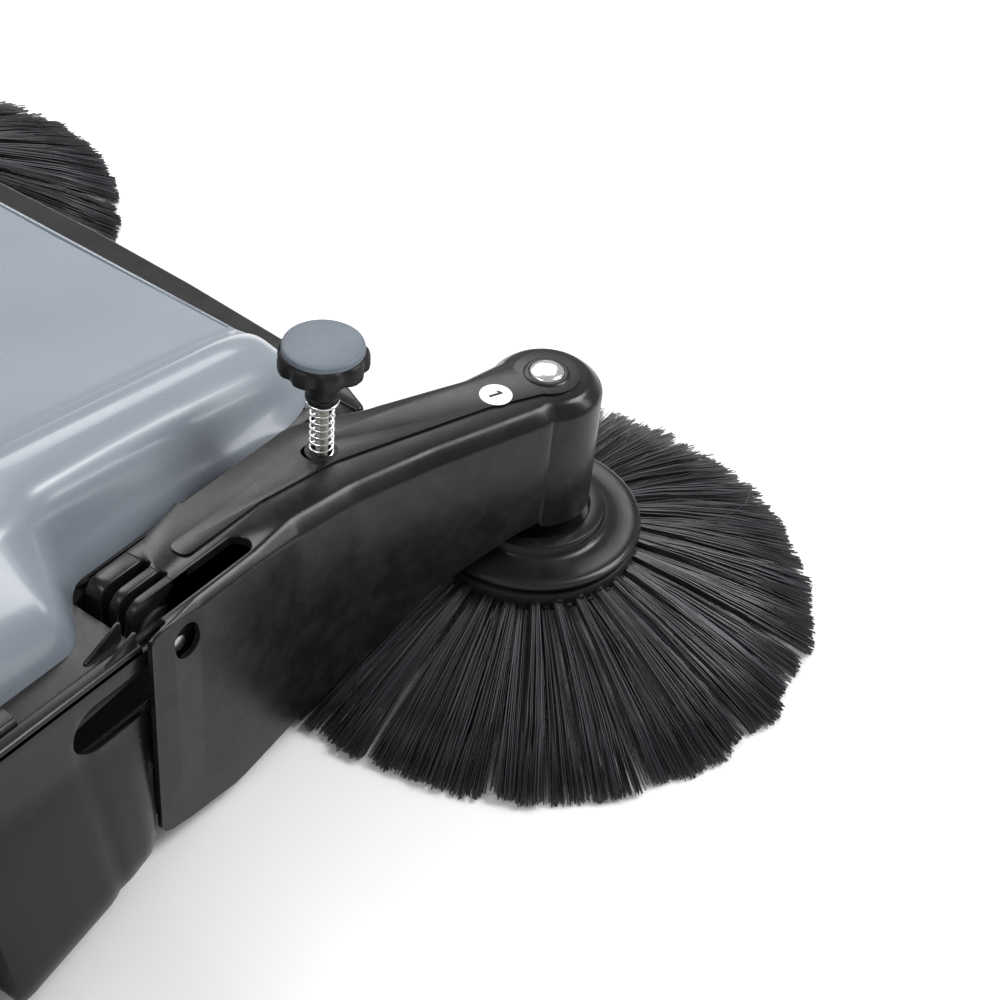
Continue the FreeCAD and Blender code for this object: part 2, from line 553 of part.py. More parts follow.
def wheels():
    where = ("-wheel_x", back("axle_back"), "wheel_radius")
    half = "wheel_width / 2"
    rim = "wheel_radius - tyre_thick"
    tyre = turned("tyre", [
        (rim, f"-({half})"), ("wheel_radius - 6", f"-({half})"), ("wheel_radius", f"-({half} - 6)"),
        ("wheel_radius", f"{half} - 6"), ("wheel_radius - 6", half), (rim, half)], where, ACROSS)
    pair(tyre, "tyre")
    bore = "axle_radius + running_gap"
    inner_end = "wheel_x - gear_x + gear_width / 2"
    hub = turned("hub", [
        (bore, f"-({half}) - 4"), ("sleeve_radius + 8", f"-({half}) - 4"),
        ("sleeve_radius + 8", "-6"), (f"{rim} - 10", "-6"), (f"{rim} - 10", f"-({half})"),
        (rim, f"-({half})"), (rim, half), (f"{rim} - 10", half), (f"{rim} - 10", "6"),
        ("sleeve_radius + 8", "6"), ("sleeve_radius + 8", half), ("sleeve_radius", half),
        ("sleeve_radius", inner_end), (bore, inner_end)], where, ACROSS)
    pair(hub, "wheel_hub")
    pulley = turned("drive_pulley", groove("sleeve_radius", "wheel_belt_pitch", "belt_radius",
                                           "belt_radius + 3", "0.6"),
                    ("-wheel_belt_x", back("axle_back"), "wheel_radius"), ACROSS)
    gear = coded_gear(GEAR_TEETH, value("sleeve_radius"), 0)
    gear.translate(V(-value("gear_x") - value("gear_width") / 2, value(back("axle_back")),
                     value("wheel_radius")))
    boss_low = value("wheel_belt_x") - value("belt_radius") - 3
    boss_high = value("gear_x") + value("gear_width") / 2
    boss = Part.makeCylinder(value("sleeve_radius") + 6, boss_low - boss_high,
                             V(-boss_low, value(back("axle_back")), value("wheel_radius")), V(1, 0, 0))
    boss = boss.cut(Part.makeCylinder(value("sleeve_radius"), boss_low - boss_high,
                                      V(-boss_low, value(back("axle_back")), value("wheel_radius")),
                                      V(1, 0, 0)))
    doc.recompute()
    coded(pulley.Shape.fuse([gear, boss]).removeSplitter(), "drive_gear")
    mirrored(pulley, "drive_pulley_left")
    axle = rod("axle", "axle_radius", ("-wheel_x - wheel_width / 2 - 10", back("axle_back"),
                                       "wheel_radius"),
               "wheel_x + wheel_width / 2 + 10 - tunnel_x + tunnel_thick", "x")
    twin = doc.addObject("Part::Mirroring", "axle_twin")
    twin.Source = axle
    twin.Normal = V(1, 0, 0)
    counter_y, counter_z = pinion_place()
    counter = rod("counter_pin", "counter_radius", ("-gear_x - gear_width / 2 - 4", counter_y,
                                                   counter_z),
                  "gear_x + gear_width / 2 + 4 - tunnel_x + tunnel_thick", "x")
    both = doc.addObject("Part::Compound", "stub_axles")
    both.Links = [axle, twin, counter]
    node(both, "stub_axles")


def pinion_place():
    """Row Y and Z of the pinion, in mesh ahead of and above the drive gear."""
    distance = f"(gear_module * {GEAR_TEETH + PINION_TEETH} / 2)"
    return back(f"axle_back - {distance}"), "wheel_radius"


def coded_gear(teeth, bore, turn):
    """A spur gear about the X axis, its first tooth towards +Y, turned by an angle in radians."""
    module = value("gear_module")
    width = value("gear_width")
    pitch = module * teeth / 2
    step = 2 * math.pi / teeth
    thin = 0.25 * step - 0.2 / pitch
    spread = math.radians(20) * module / pitch
    corners = []
    for i in range(teeth):
        middle = turn + i * step
        for radius, offset in ((pitch - 1.2 * module, -thin - 1.2 * spread / 2),
                               (pitch + 0.9 * module, -thin + 0.9 * spread / 2),
                               (pitch + 0.9 * module, thin - 0.9 * spread / 2),
                               (pitch - 1.2 * module, thin + 1.2 * spread / 2)):
            angle = middle + offset
            corners.append(V(0, radius * math.cos(angle), radius * math.sin(angle)))
    face = Part.Face(Part.makePolygon(corners + corners[:1]))
    blank = face.extrude(V(width, 0, 0))
    return blank.cut(Part.makeCylinder(bore, width, V(0, 0, 0), V(1, 0, 0)))


def pinion():
    where_y, where_z = [value(text) for text in pinion_place()]
    bore = value("counter_radius") + value("running_gap")
    gear = coded_gear(PINION_TEETH, bore, math.pi / PINION_TEETH)
    gear.translate(V(-value("gear_x") - value("gear_width") / 2, where_y, where_z))
    pulley = turned("pinion_pulley_part", groove("counter_radius + running_gap", "pinion_belt_pitch",
                                                 "belt_radius", "belt_radius + 3", "0.6"),
                    ("-roller_belt_x", pinion_place()[0], pinion_place()[1]), ACROSS)
    doc.recompute()
    low = -value("gear_x") + value("gear_width") / 2
    high = -value("roller_belt_x") - value("belt_radius") - 3
    neck = Part.makeCylinder(9, high - low, V(low, where_y, where_z), V(1, 0, 0))
    neck = neck.cut(Part.makeCylinder(bore, high - low, V(low, where_y, where_z), V(1, 0, 0)))
    coded(pulley.Shape.fuse([gear, neck]).removeSplitter(), "pinion_pulley")


def hinge_pulleys():
    """A double pulley on the hinge pin: small groove for the wheel belt, large for the arm belt."""
    bore = "hinge_radius + running_gap"
    middle = "(wheel_belt_x - arm_belt_x)"
    wide = "belt_radius + 0.6"
    narrow = "arm_belt_radius + 1.6"
    small, small_floor = "hinge_belt_pitch + pulley_lip", "hinge_belt_pitch - belt_radius - free_gap"
    large, large_floor = "arm_belt_pitch + pulley_lip", "arm_belt_pitch - arm_belt_radius - free_gap"
    pulley = turned("hinge_pulley", [
        (bore, f"-({wide}) - 1.6"), (small, f"-({wide}) - 1.6"), (small, f"-({wide})"),
        (small_floor, f"-({wide})"), (small_floor, wide), (large, wide),
        (large, f"{middle} - ({narrow}) - free_gap"),
        (large_floor, f"{middle} - ({narrow}) - free_gap"),
        (large_floor, f"{middle} + {narrow}"), (large, f"{middle} + {narrow}"),
        (large, f"{middle} + {narrow} + 1"), (bore, f"{middle} + {narrow} + 1")],
        ("-wheel_belt_x", back("hinge_back"), "hinge_z"), ACROSS)
    pair(pulley, "hinge_pulley")


def belt_loop(x, first, first_radius, second, second_radius, wire):
    """A round belt in a plane of constant X about two pulleys given as (y, z)."""
    dy, dz = second[0] - first[0], second[1] - first[1]
    length = math.hypot(dy, dz)
    ey, ez = dy / length, dz / length
    lean = (first_radius - second_radius) / length
    level = math.sqrt(1 - lean * lean)

    def touch(centre, radius, side):
        return V(x, centre[0] + radius * (lean * ey - side * level * ez),
                 centre[1] + radius * (lean * ez + side * level * ey))
    a_top, b_top = touch(first, first_radius, 1), touch(second, second_radius, 1)
    a_low, b_low = touch(first, first_radius, -1), touch(second, second_radius, -1)
    a_far = V(x, first[0] - first_radius * ey, first[1] - first_radius * ez)
    b_far = V(x, second[0] + second_radius * ey, second[1] + second_radius * ez)
    path = Part.Wire([Part.LineSegment(a_top, b_top).toShape(),
                      Part.Arc(b_top, b_far, b_low).toShape(),
                      Part.LineSegment(b_low, a_low).toShape(),
                      Part.Arc(a_low, a_far, a_top).toShape()])
    section = Part.Wire(Part.makeCircle(wire, a_top, b_top - a_top))
    return path.makePipeShell([section], True, True)


def belts():
    hinge = (value(back("hinge_back")), value("hinge_z"))
    axle = (value(back("axle_back")), value("wheel_radius"))
    counter = tuple(value(text) for text in pinion_place())
    roller = (value(back("roller_back")), value("roller_radius"))
    wire = value("belt_radius")
    right = coded(belt_loop(-value("wheel_belt_x"), hinge, value("hinge_belt_pitch"), axle,
                            value("wheel_belt_pitch"), wire), "wheel_belt_right")
    mirrored(right, "wheel_belt_left")
    coded(belt_loop(-value("roller_belt_x"), roller, value("roller_belt_pitch"), counter,
                    value("pinion_belt_pitch"), wire), "roller_belt")


def arm_belt():
    """The quarter-turn belt in the arm: it leaves the hinge pulley upright, meets the brush flat."""
    wire, big, small = value("arm_belt_radius"), value("arm_belt_pitch"), value("brush_belt_radius")
    hinge = V(-value("arm_belt_x"), value(back("hinge_back")), value("hinge_z"))
    head = V(-value("brush_x"), value(BRUSH_Y), value("brush_belt_z"))
    runs = [(hinge + V(0, 0, big), head - V(small, 0, 0)), (hinge - V(0, 0, big), head + V(small, 0, 0))]
    solids = []
    for start, end in runs:
        solids.append(Part.makeCylinder(wire, (end - start).Length, start, end - start))
        solids += [Part.makeSphere(wire + 0.1, start), Part.makeSphere(wire + 0.1, end)]
    about_hinge = Part.makeTorus(big, wire, hinge, V(1, 0, 0))
    behind = Part.makeBox(40, 60, 60, hinge + V(-20, 0, -30))
    about_head = Part.makeTorus(small, wire, head, V(0, 0, 1))
    ahead = Part.makeBox(60, 60, 40, head + V(-30, -60, -20))
    solids += [about_hinge.common(behind), about_head.common(ahead)]
    pair(coded_only(solids[0].fuse(solids[1:])), "arm_belt")


def coded_only(shape):
    thing = doc.addObject("Part::Feature", "coded")
    thing.Shape = shape
    thing.Placement = FreeCAD.Placement(V(0, 0, 0), FLAT)
    return thing


def hinge_pins():
    pin = rod("hinge_pin", "hinge_radius", ("-chassis_x - 1", back("hinge_back"), "hinge_z"),
              "chassis_x + 1 - tunnel_x + tunnel_thick + 2", "x")
    group(pin, "arm_hinge_pins")


# ---- roller brush -------------------------------------------------------------------------

def roller():
    centre = ("-roller_half", back("roller_back"), "roller_radius")
    core = cut("core", rod("core_tube", "roller_core", centre, "2 * roller_half", "x"),
               rod("core_bore", "roller_shaft", centre, "2 * roller_half", "x"))
    node(core, "roller_core")
    rows = []
    for i in range(ROLLER_ROWS):
        row = doc.addObject("Part::Box", f"roller_row_{i}")
        bind(row, "Length", "2 * roller_half - 8")
        bind(row, "Width", "roller_row")
        bind(row, "Height", "roller_radius + 1")
        angle = 360 * i / ROLLER_ROWS
        turn = FreeCAD.Rotation(V(1, 0, 0), angle + 180)
        place(row, ("-roller_half + 4", back(f"roller_back + roller_row / 2 * cos({angle} deg)"),
                    f"roller_radius + roller_row / 2 * sin({angle} deg)"), turn)
        rows.append(row)
    tube = rod("row_limit", "roller_radius", centre, "2 * roller_half", "x")
    rows_only = doc.addObject("Part::MultiCommon", "rows_round")
    rows_only.Shapes = [fuse("rows_fused", *rows), tube]
    bristles = cut("rows_cut", rows_only, rod("row_bore", "roller_core", centre, "2 * roller_half",
                                              "x"))
    node(bristles, "roller_bristles")
    shaft_low = "-roller_belt_x - belt_radius - 5"
    shaft = rod("shaft", "roller_shaft", (shaft_low, back("roller_back"), "roller_radius"),
                "roller_belt_x + belt_radius + 5 + tunnel_x + 4", "x")
    node(shaft, "roller_shaft")
    pulley = turned("roller_pulley", groove("roller_shaft", "roller_belt_pitch", "belt_radius",
                                            "belt_radius + 3", "0.6"),
                    ("-roller_belt_x", back("roller_back"), "roller_radius"), ACROSS)
    node(pulley, "roller_pulley")
    where = ("-tunnel_x", back("roller_back"), "roller_radius")
    bearing = cut("bearing", rod("bearing_disc", "bearing_radius", where, "tunnel_thick", "x"),
                  rod("bearing_bore", "roller_shaft + running_gap", where, "tunnel_thick", "x"))
    group(bearing, "roller_bearings")


# ---- caster -------------------------------------------------------------------------------

def caster():
    axle_y = back("caster_back + caster_trail")
    half = "caster_width / 2 + 2"
    crown = "caster_plate_z - free_gap"
    top = box("fork_top", (f"-({half}) - caster_fork_wall", back("caster_back - 14"),
                           f"{crown} - 4"),
              (f"{half} + caster_fork_wall", back("caster_back + 26"), crown))
    cheeks = [padded(f"fork_cheek_{i}", [
        (back("caster_back - 14"), f"{crown} - 4"), (back("caster_back + 6"), "caster_radius - 9"),
        (back("caster_back + caster_trail + 9"), "caster_radius - 9"),
        (back("caster_back + caster_trail + 9"), f"{crown} - 4")],
        "caster_fork_wall", (low, "0", "0"), SIDEWAYS)
        for i, low in enumerate((f"-({half}) - caster_fork_wall", half))]
    stem = rod("fork_stem", "caster_stem", ("0", back("caster_back"), f"{crown} - 2"), "16")
    bore = rod("fork_bore", "caster_axle", (f"-({half}) - 10", axle_y, "caster_radius"),
               "caster_width + 24", "x")
    node(cut("fork", fuse("fork_solid", top, stem, *cheeks), bore), "caster_fork")
    wheel = turned("caster_tread", [
        ("caster_axle + running_gap", "-caster_width / 2"), ("caster_radius - 3", "-caster_width / 2"),
        ("caster_radius", "-caster_width / 2 + 3"), ("caster_radius", "caster_width / 2 - 3"),
        ("caster_radius - 3", "caster_width / 2"), ("caster_axle + running_gap", "caster_width / 2")],
        ("0", axle_y, "caster_radius"), ACROSS)
    node(wheel, "caster_wheel")
    axle = rod("caster_pin", "caster_axle", (f"-({half}) - caster_fork_wall - 2", axle_y,
                                             "caster_radius"), "caster_width + 14", "x")
    node(axle, "caster_axle")


# ---- handle -------------------------------------------------------------------------------

def handle():
    """A bent tube from one pivot up, across the top and down to the other."""
    grip = value("grip_radius")
    foot_y, foot_z = value(back("pivot_back")), value("pivot_z")
    top_y, top_z = value("overall_length / 2") - grip, value("handle_height") - grip
    side = value("handle_x")
    reach = math.hypot(top_y - foot_y, top_z - foot_z)
    up = V(0, (top_y - foot_y) / reach, (top_z - foot_z) / reach)
    bend = value("bend_radius")
    tail = 14
    foot = [V(s * side, foot_y, foot_z) - up * tail for s in (-1, 1)]
    top = [V(s * side, top_y, top_z) for s in (-1, 1)]
    start = [corner - up * bend for corner in top]
    end = [V(s * (side - bend), top_y, top_z) for s in (-1, 1)]
    heart = [V(s * (side - bend), top_y, top_z) - up * bend for s in (-1, 1)]
    mid = [heart[i] + (V(s, 0, 0) + up) * (bend / math.sqrt(2)) for i, s in enumerate((-1, 1))]
    edges = [Part.LineSegment(foot[0], start[0]), Part.Arc(start[0], mid[0], end[0]),
             Part.LineSegment(end[0], end[1]), Part.Arc(end[1], mid[1], start[1]),
             Part.LineSegment(start[1], foot[1])]
    path = Part.Wire([edge.toShape() for edge in edges])
    tubes = []
    for radius in (value("tube_radius"), value("tube_radius") - value("tube_wall")):
        section = Part.Wire(Part.makeCircle(radius, foot[0], up))
        tubes.append(path.makePipeShell([section], True, True))
    tube = tubes[0].cut(tubes[1])
    span = 2 * side + 60
    hole = Part.makeCylinder(value("clamp_bolt") + value("running_gap"), span,
                             V(-span / 2, foot_y, foot_z), V(1, 0, 0))
    coded(tube.cut(hole), "handle_bar")
    where = ("-grip_x - grip_length", "overall_length / 2 - grip_radius", "handle_height - grip_radius")
    sleeve = cut("grip", rod("grip_sleeve", "grip_radius", where, "grip_length", "x"),
                 rod("grip_bore", "tube_radius + running_gap", where, "grip_length", "x"))
    group(sleeve, "handle_grips")
    plates = []
    for i, low in enumerate(("-handle_x - tube_radius - free_gap - bracket_thick",
                             "-handle_x + tube_radius + free_gap")):
        plates.append(box(f"bracket_plate_{i}", (low, back("pivot_back - bracket_width / 2"),
                                                 "deck_top"),
                          (f"{low} + bracket_thick", back("pivot_back + bracket_width / 2"),
                           "pivot_z + 18")))
    foot_plate = box("bracket_foot", ("-handle_x - tube_radius - free_gap - bracket_thick",
                                      back("pivot_back - bracket_width / 2"), "deck_top"),
                     ("-handle_x + tube_radius + free_gap + bracket_thick",
                      back("pivot_back + bracket_width / 2"), "deck_top + 4"))
    bolt_hole = rod("bracket_hole", "clamp_bolt + running_gap",
                    ("-chassis_x", back("pivot_back"), "pivot_z"), "100", "x")
    group(cut("bracket", fuse("bracket_solid", foot_plate, *plates), bolt_hole), "handle_brackets")
    outer = "-handle_x - tube_radius - free_gap - bracket_thick - free_gap"
    blank = rod("clamp_blank", "clamp_radius", (f"{outer} - clamp_thick", back("pivot_back"),
                                                "pivot_z"), "clamp_thick", "x")
    dents = [rod(f"clamp_dent_{i}", "5",
                 (f"{outer} - clamp_thick - 1",
                  back(f"pivot_back + (clamp_radius + 3) * cos({60 * i} deg)"),
                  f"pivot_z + (clamp_radius + 3) * sin({60 * i} deg)"), "clamp_thick + 2", "x")
             for i in range(6)]
    bolt = rod("clamp_shank", "clamp_bolt", (outer, back("pivot_back"), "pivot_z"),
               "2 * (tube_radius + free_gap + bracket_thick + free_gap) + 3", "x")
    pair(fuse("clamp", cut("clamp_star", blank, *dents), bolt), "clamp_knob")


# ---- dust bin -----------------------------------------------------------------------------

def dust_bin():
    outer = box("bin_block", ("-bin_x", back("bin_front"), "bin_low"),
                ("bin_x", back("bin_back"), "bin_top"))
    rim = box("bin_flange", ("-bin_x - bin_rim", back("bin_front"), "deck_top + free_gap"),
              ("bin_x + bin_rim", back("bin_back"), "deck_top + free_gap + 4"))
    hollow = box("bin_hollow", ("-bin_x + bin_wall", back("bin_front + bin_wall"),
                                "bin_low + bin_wall"),
                 ("bin_x - bin_wall", back("bin_back - bin_wall"), "bin_top - bin_wall"))
    mouth = box("bin_mouth", ("-bin_x + 12", back("bin_front - 1"), "bin_low + 20"),
                ("bin_x - 12", back("bin_front + bin_wall + 1"), "bin_low + 115"))
    lugs = [box(f"bail_lug_{i}", (low, back("bin_back - 40"), "bin_top - 1"),
                (f"{low} + 8", back("bin_back - 24"), "bin_top + 16"))
            for i, low in enumerate(("-bail_x + 8 + free_gap", "bail_x - 16 - free_gap"))]
    solid = fuse("bin_solid", cut("bin_shell", fuse("bin_outer", outer, rim), hollow, mouth), *lugs)
    pivot = rod("bail_bore", "bail_radius + running_gap",
                ("-bail_x - 10", back("bin_back - 32"), "bin_top + 9"), "2 * bail_x + 20", "x")
    node(cut("bin_bored", solid, pivot), "dust_bin")
    pins = [rod(f"bail_pin_{i}", "bail_radius", (low, back("bin_back - 32"), "bin_top + 9"), "20", "x")
            for i, low in enumerate(("-bail_x - 4", "bail_x - 16"))]
    arms = [box(f"bail_arm_{i}", (low, back("bin_back - 32 - bail_reach"), "bin_top + 9 - bail_radius"),
                (f"{low} + 8", back("bin_back - 32 + bail_radius"), "bin_top + 9 + bail_radius"))
            for i, low in enumerate(("-bail_x - 4", "bail_x - 4"))]
    bar = rod("bail_bar", "bail_radius + 2", ("-bail_x - 4", back("bin_back - 32 - bail_reach"),
                                              "bin_top + 9"), "2 * bail_x + 8", "x")
    node(fuse("bail", bar, *arms, *pins), "bin_handle")


side_brush()
arm_housing()
arm_details()
adjuster()
chassis_deck()
side_panel()
front_beam()
top_cover()
wheels()
pinion()
hinge_pulleys()
belts()
arm_belt()
hinge_pins()
roller()
caster()
handle()
dust_bin()
doc.recompute()

for thing in doc.Objects:
    if "Invalid" in thing.State or "Error" in thing.State:
        raise RuntimeError(f"{thing.Label} did not build: {thing.State}")
os.makedirs("parts", exist_ok=True)
for thing in nodes:
    shape = thing.Shape
    if shape.isNull() or not shape.isValid() or shape.Volume <= 0:
        raise RuntimeError(f"{thing.Label} has no sound solid")
    shape.exportStep(f"parts/{thing.Label}.step")
    print(f"{thing.Label}: {len(shape.Solids)} solid, {shape.Volume / 1000:.1f} cm3")
print(len(nodes), "nodes")
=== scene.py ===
"""Looks of the walk-behind floor sweeper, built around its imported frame.

Lengths in this script are millimetres measured from the side brush line (y = 0 midway between the
two side brush spindles, y growing rearwards); place() turns them into the frame's metres.
"""
import json
import math
import random

import bmesh
import bpy
from mathutils import Matrix, Vector


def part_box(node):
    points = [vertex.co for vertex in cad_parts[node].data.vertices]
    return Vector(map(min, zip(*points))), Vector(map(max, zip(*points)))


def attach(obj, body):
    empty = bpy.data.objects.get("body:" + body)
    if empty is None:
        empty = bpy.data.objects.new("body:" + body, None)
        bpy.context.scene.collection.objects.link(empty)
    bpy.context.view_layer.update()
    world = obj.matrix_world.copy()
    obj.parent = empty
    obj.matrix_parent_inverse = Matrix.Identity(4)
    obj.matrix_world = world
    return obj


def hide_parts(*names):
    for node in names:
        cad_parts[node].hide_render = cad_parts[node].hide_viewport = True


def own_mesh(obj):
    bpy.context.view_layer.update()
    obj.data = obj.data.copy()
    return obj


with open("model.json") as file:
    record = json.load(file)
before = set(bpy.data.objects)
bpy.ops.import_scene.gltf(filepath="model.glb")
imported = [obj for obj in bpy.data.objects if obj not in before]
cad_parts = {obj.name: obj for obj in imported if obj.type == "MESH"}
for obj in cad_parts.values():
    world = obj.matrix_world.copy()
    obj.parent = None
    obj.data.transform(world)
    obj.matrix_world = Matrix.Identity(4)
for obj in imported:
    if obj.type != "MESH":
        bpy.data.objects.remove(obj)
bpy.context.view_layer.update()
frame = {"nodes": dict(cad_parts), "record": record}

MM = 0.001
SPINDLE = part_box("brush_spindle_right")
BRUSH_Y = (SPINDLE[0].y + SPINDLE[1].y) / 2 / MM
BRUSH_X = -(SPINDLE[0].x + SPINDLE[1].x) / 2 / MM


def place(x, y, z):
    """A point in millimetres from the side brush line, in the frame's metres."""
    return Vector((x * MM, (y + BRUSH_Y) * MM, z * MM))


# ---- materials ----------------------------------------------------------------------------

class Nodes:
    """A material being built around one Principled shader."""

    def __init__(self, name):
        self.material = bpy.data.materials.new(name)
        self.material.use_nodes = True
        self.tree = self.material.node_tree
        self.shader = self.tree.nodes["Principled BSDF"]
        self.coordinates = self.tree.nodes.new("ShaderNodeTexCoord").outputs["Object"]

    def add(self, kind, inputs=None, **settings):
        node = self.tree.nodes.new(kind)
        for key, setting in settings.items():
            setattr(node, key, setting)
        for key, content in (inputs or {}).items():
            if isinstance(content, bpy.types.NodeSocket):
                self.tree.links.new(content, node.inputs[key])
            else:
                node.inputs[key].default_value = content
        return node

    def noise(self, scale, detail=4.0, rough=0.5, vector=None):
        return self.add("ShaderNodeTexNoise", {"Vector": vector or self.coordinates, "Scale": scale,
                                               "Detail": detail, "Roughness": rough}).outputs["Fac"]

    def spread(self, fac, low, high, to_low, to_high):
        node = self.add("ShaderNodeMapRange", {0: fac, 1: low, 2: high, 3: to_low, 4: to_high})
        return node.outputs[0]

    def ramp(self, fac, stops):
        node = self.add("ShaderNodeValToRGB", {"Fac": fac})
        ramp = node.color_ramp
        while len(ramp.elements) < len(stops):
            ramp.elements.new(0.5)
        for element, (position, colour) in zip(ramp.elements, stops):
            element.position = position
            element.color = (*colour, 1.0)
        return node.outputs["Color"]

    def mix(self, fac, one, two):
        node = self.add("ShaderNodeMix", {0: fac}, data_type="RGBA")
        for socket, content in ((node.inputs[6], one), (node.inputs[7], two)):
            if isinstance(content, bpy.types.NodeSocket):
                self.tree.links.new(content, socket)
            else:
                socket.default_value = (*content, 1.0)
        return node.outputs[2]

    def math(self, operation, one, two=0.0):
        node = self.add("ShaderNodeMath", {0: one, 1: two}, operation=operation)
        return node.outputs[0]

    def set(self, **sockets):
        names = {"colour": "Base Color", "rough": "Roughness", "metal": "Metallic",
                 "coat": "Coat Weight", "coat_rough": "Coat Roughness",
                 "specular": "Specular IOR Level", "sheen": "Sheen Weight"}
        for key, content in sockets.items():
            socket = self.shader.inputs[names[key]]
            if isinstance(content, bpy.types.NodeSocket):
                self.tree.links.new(content, socket)
            elif key == "colour":
                socket.default_value = (*content, 1.0)
            else:
                socket.default_value = content
        return self

    def bump(self, heights, distance=0.001, strength=0.5):
        """One bump chain from several (height, strength) layers."""
        normal = None
        for height, amount in heights:
            inputs = {"Height": height, "Strength": strength * amount, "Distance": distance}
            if normal is not None:
                inputs["Normal"] = normal
            normal = self.add("ShaderNodeBump", inputs).outputs["Normal"]
        self.tree.links.new(normal, self.shader.inputs["Normal"])
        return self.material


def edge_wear_and_highlight(m, scale=1.0):
    """Edge mask from pointiness, broken up by noise: it lightens edges, partly as rubbed wear and partly as
    painted highlight.
    """
    geometry = m.add("ShaderNodeNewGeometry")
    edge = m.spread(geometry.outputs["Pointiness"], 0.52, 0.58, 0.0, 1.0)
    return m.math("MULTIPLY", edge, m.spread(m.noise(90.0 * scale, 3.0), 0.4, 0.7, 0.0, 1.0))


def moulded_plastic(name, colour, rough, dust=0.5, grain=900.0, shine=0.24):
    """Injection-moulded plastic: fine grain, faint flow mottling, dust specks, and edges lightened partly as
    rubbed wear and partly as painted highlight.
    """
    m = Nodes(name)
    mottle = m.noise(14.0, 5.0, 0.6)
    base = m.mix(m.spread(mottle, 0.35, 0.7, 0.0, 1.0), colour, tuple(c * 1.35 + 0.002 for c in colour))
    specks = m.add("ShaderNodeTexVoronoi", {"Vector": m.coordinates, "Scale": 170.0,
                                            "Randomness": 1.0}).outputs["Distance"]
    pick = m.spread(m.noise(37.0, 2.0), 0.6, 0.68, 0.0, 1.0)
    speck = m.math("MULTIPLY", m.spread(specks, 0.035, 0.06, dust, 0.0), pick)
    base = m.mix(speck, base, (0.35, 0.35, 0.36))
    # edges lightened in the colour: partly rubbed wear, partly painted highlight along the edges
    base = m.mix(m.math("MULTIPLY", edge_wear_and_highlight(m), 0.25), base, tuple(c * 2.6 + 0.02 for c in colour))
    smear = m.noise(23.0, 6.0, 0.65)
    m.set(colour=base, rough=m.spread(smear, 0.3, 0.75, rough - 0.07, rough + 0.12), specular=shine)
    return m.bump([(m.noise(grain, 2.0), 0.10), (m.noise(6.0, 2.0), 0.35)], 0.0006)


def gloss_cover(name):
    """Blue-grey glossy cover with soft orange-peel, faint scuffs and dust."""
    m = Nodes(name)
    tint = m.mix(m.spread(m.noise(3.2, 3.0), 0.35, 0.7, 0.0, 1.0), (0.205, 0.235, 0.275),
                 (0.225, 0.255, 0.295))
    scratch_space = m.add("ShaderNodeMapping", {"Vector": m.coordinates, "Rotation": (0.2, 0.1, 0.6),
                                                "Scale": (9.0, 160.0, 40.0)}).outputs[0]
    scratches = m.spread(m.noise(4.0, 3.0, 0.6, scratch_space), 0.70, 0.74, 0.0, 0.14)
    base = m.mix(scratches, tint, (0.42, 0.46, 0.5))
    m.set(colour=base, rough=m.spread(m.noise(11.0, 5.0), 0.3, 0.75, 0.20, 0.33), coat=0.35,
          coat_rough=0.12)
    return m.bump([(m.noise(160.0, 1.0), 0.03), (m.noise(4.0, 1.0), 0.10)], 0.0008)


def filament(name):
    """Black bristle filament: dark, slightly blue, with a soft highlight along each hair."""
    m = Nodes(name)
    each = m.add("ShaderNodeNewGeometry").outputs["Random Per Island"]
    base = m.ramp(each, [(0.0, (0.005, 0.005, 0.006)), (0.5, (0.014, 0.014, 0.017)),
                         (0.8, (0.032, 0.033, 0.040)), (1.0, (0.075, 0.078, 0.092))])
    m.set(colour=base, rough=m.spread(each, 0.0, 1.0, 0.32, 0.5), specular=0.6)
    return m.bump([(m.noise(700.0, 2.0), 0.2)], 0.0003)


def bright_metal(name, colour, rough, brushed=0.0, scale=(4.0, 4.0, 900.0), spotted=0.35):
    m = Nodes(name)
    space = m.add("ShaderNodeMapping", {"Vector": m.coordinates, "Scale": scale}).outputs[0]
    lines = m.noise(6.0, 4.0, 0.6, space)
    spots = m.spread(m.noise(260.0, 3.0), 0.62, 0.75, 0.0, spotted)
    base = m.mix(spots, colour, tuple(c * 0.6 for c in colour))
    m.set(colour=base, metal=1.0, rough=m.spread(m.noise(60.0, 3.0), 0.3, 0.7, rough, rough + 0.12))
    return m.bump([(lines, 0.15 + brushed), (m.noise(400.0, 2.0), 0.08)], 0.0003)


def rubber(name, colour=(0.018, 0.018, 0.019), rough=0.72, grain=420.0):
    m = Nodes(name)
    dusty = m.spread(m.noise(30.0, 6.0, 0.7), 0.45, 0.75, 0.0, 0.5)
    base = m.mix(dusty, colour, (0.06, 0.058, 0.055))
    m.set(colour=base, rough=m.spread(m.noise(45.0, 4.0), 0.3, 0.7, rough - 0.08, rough + 0.1),
          specular=0.3)
    return m.bump([(m.noise(grain, 3.0), 0.35), (m.noise(12.0, 2.0), 0.3)], 0.0007)


def foam(name):
    m = Nodes(name)
    cells = m.add("ShaderNodeTexVoronoi", {"Vector": m.coordinates, "Scale": 520.0}).outputs[0]
    base = m.mix(m.spread(m.noise(20.0, 5.0), 0.35, 0.7, 0.0, 1.0), (0.016, 0.016, 0.017),
                 (0.032, 0.031, 0.031))
    m.set(colour=base, rough=0.9, specular=0.2, sheen=0.15)
    return m.bump([(cells, 0.6), (m.noise(35.0, 2.0), 0.3)], 0.0008)


def powder_coat(name, colour=(0.02, 0.02, 0.022)):
    m = Nodes(name)
    chips = m.math("MULTIPLY", edge_wear_and_highlight(m, 2.0), 0.6)
    base = m.mix(m.spread(m.noise(8.0, 4.0), 0.4, 0.7, 0.0, 1.0), colour, tuple(c * 1.5 for c in colour))
    base = m.mix(chips, base, (0.3, 0.3, 0.31))
    m.set(colour=base, rough=m.spread(m.noise(25.0, 4.0), 0.3, 0.7, 0.33, 0.48), coat=0.15)
    return m.bump([(m.noise(800.0, 2.0), 0.25), (m.noise(70.0, 2.0), 0.15)], 0.0005)


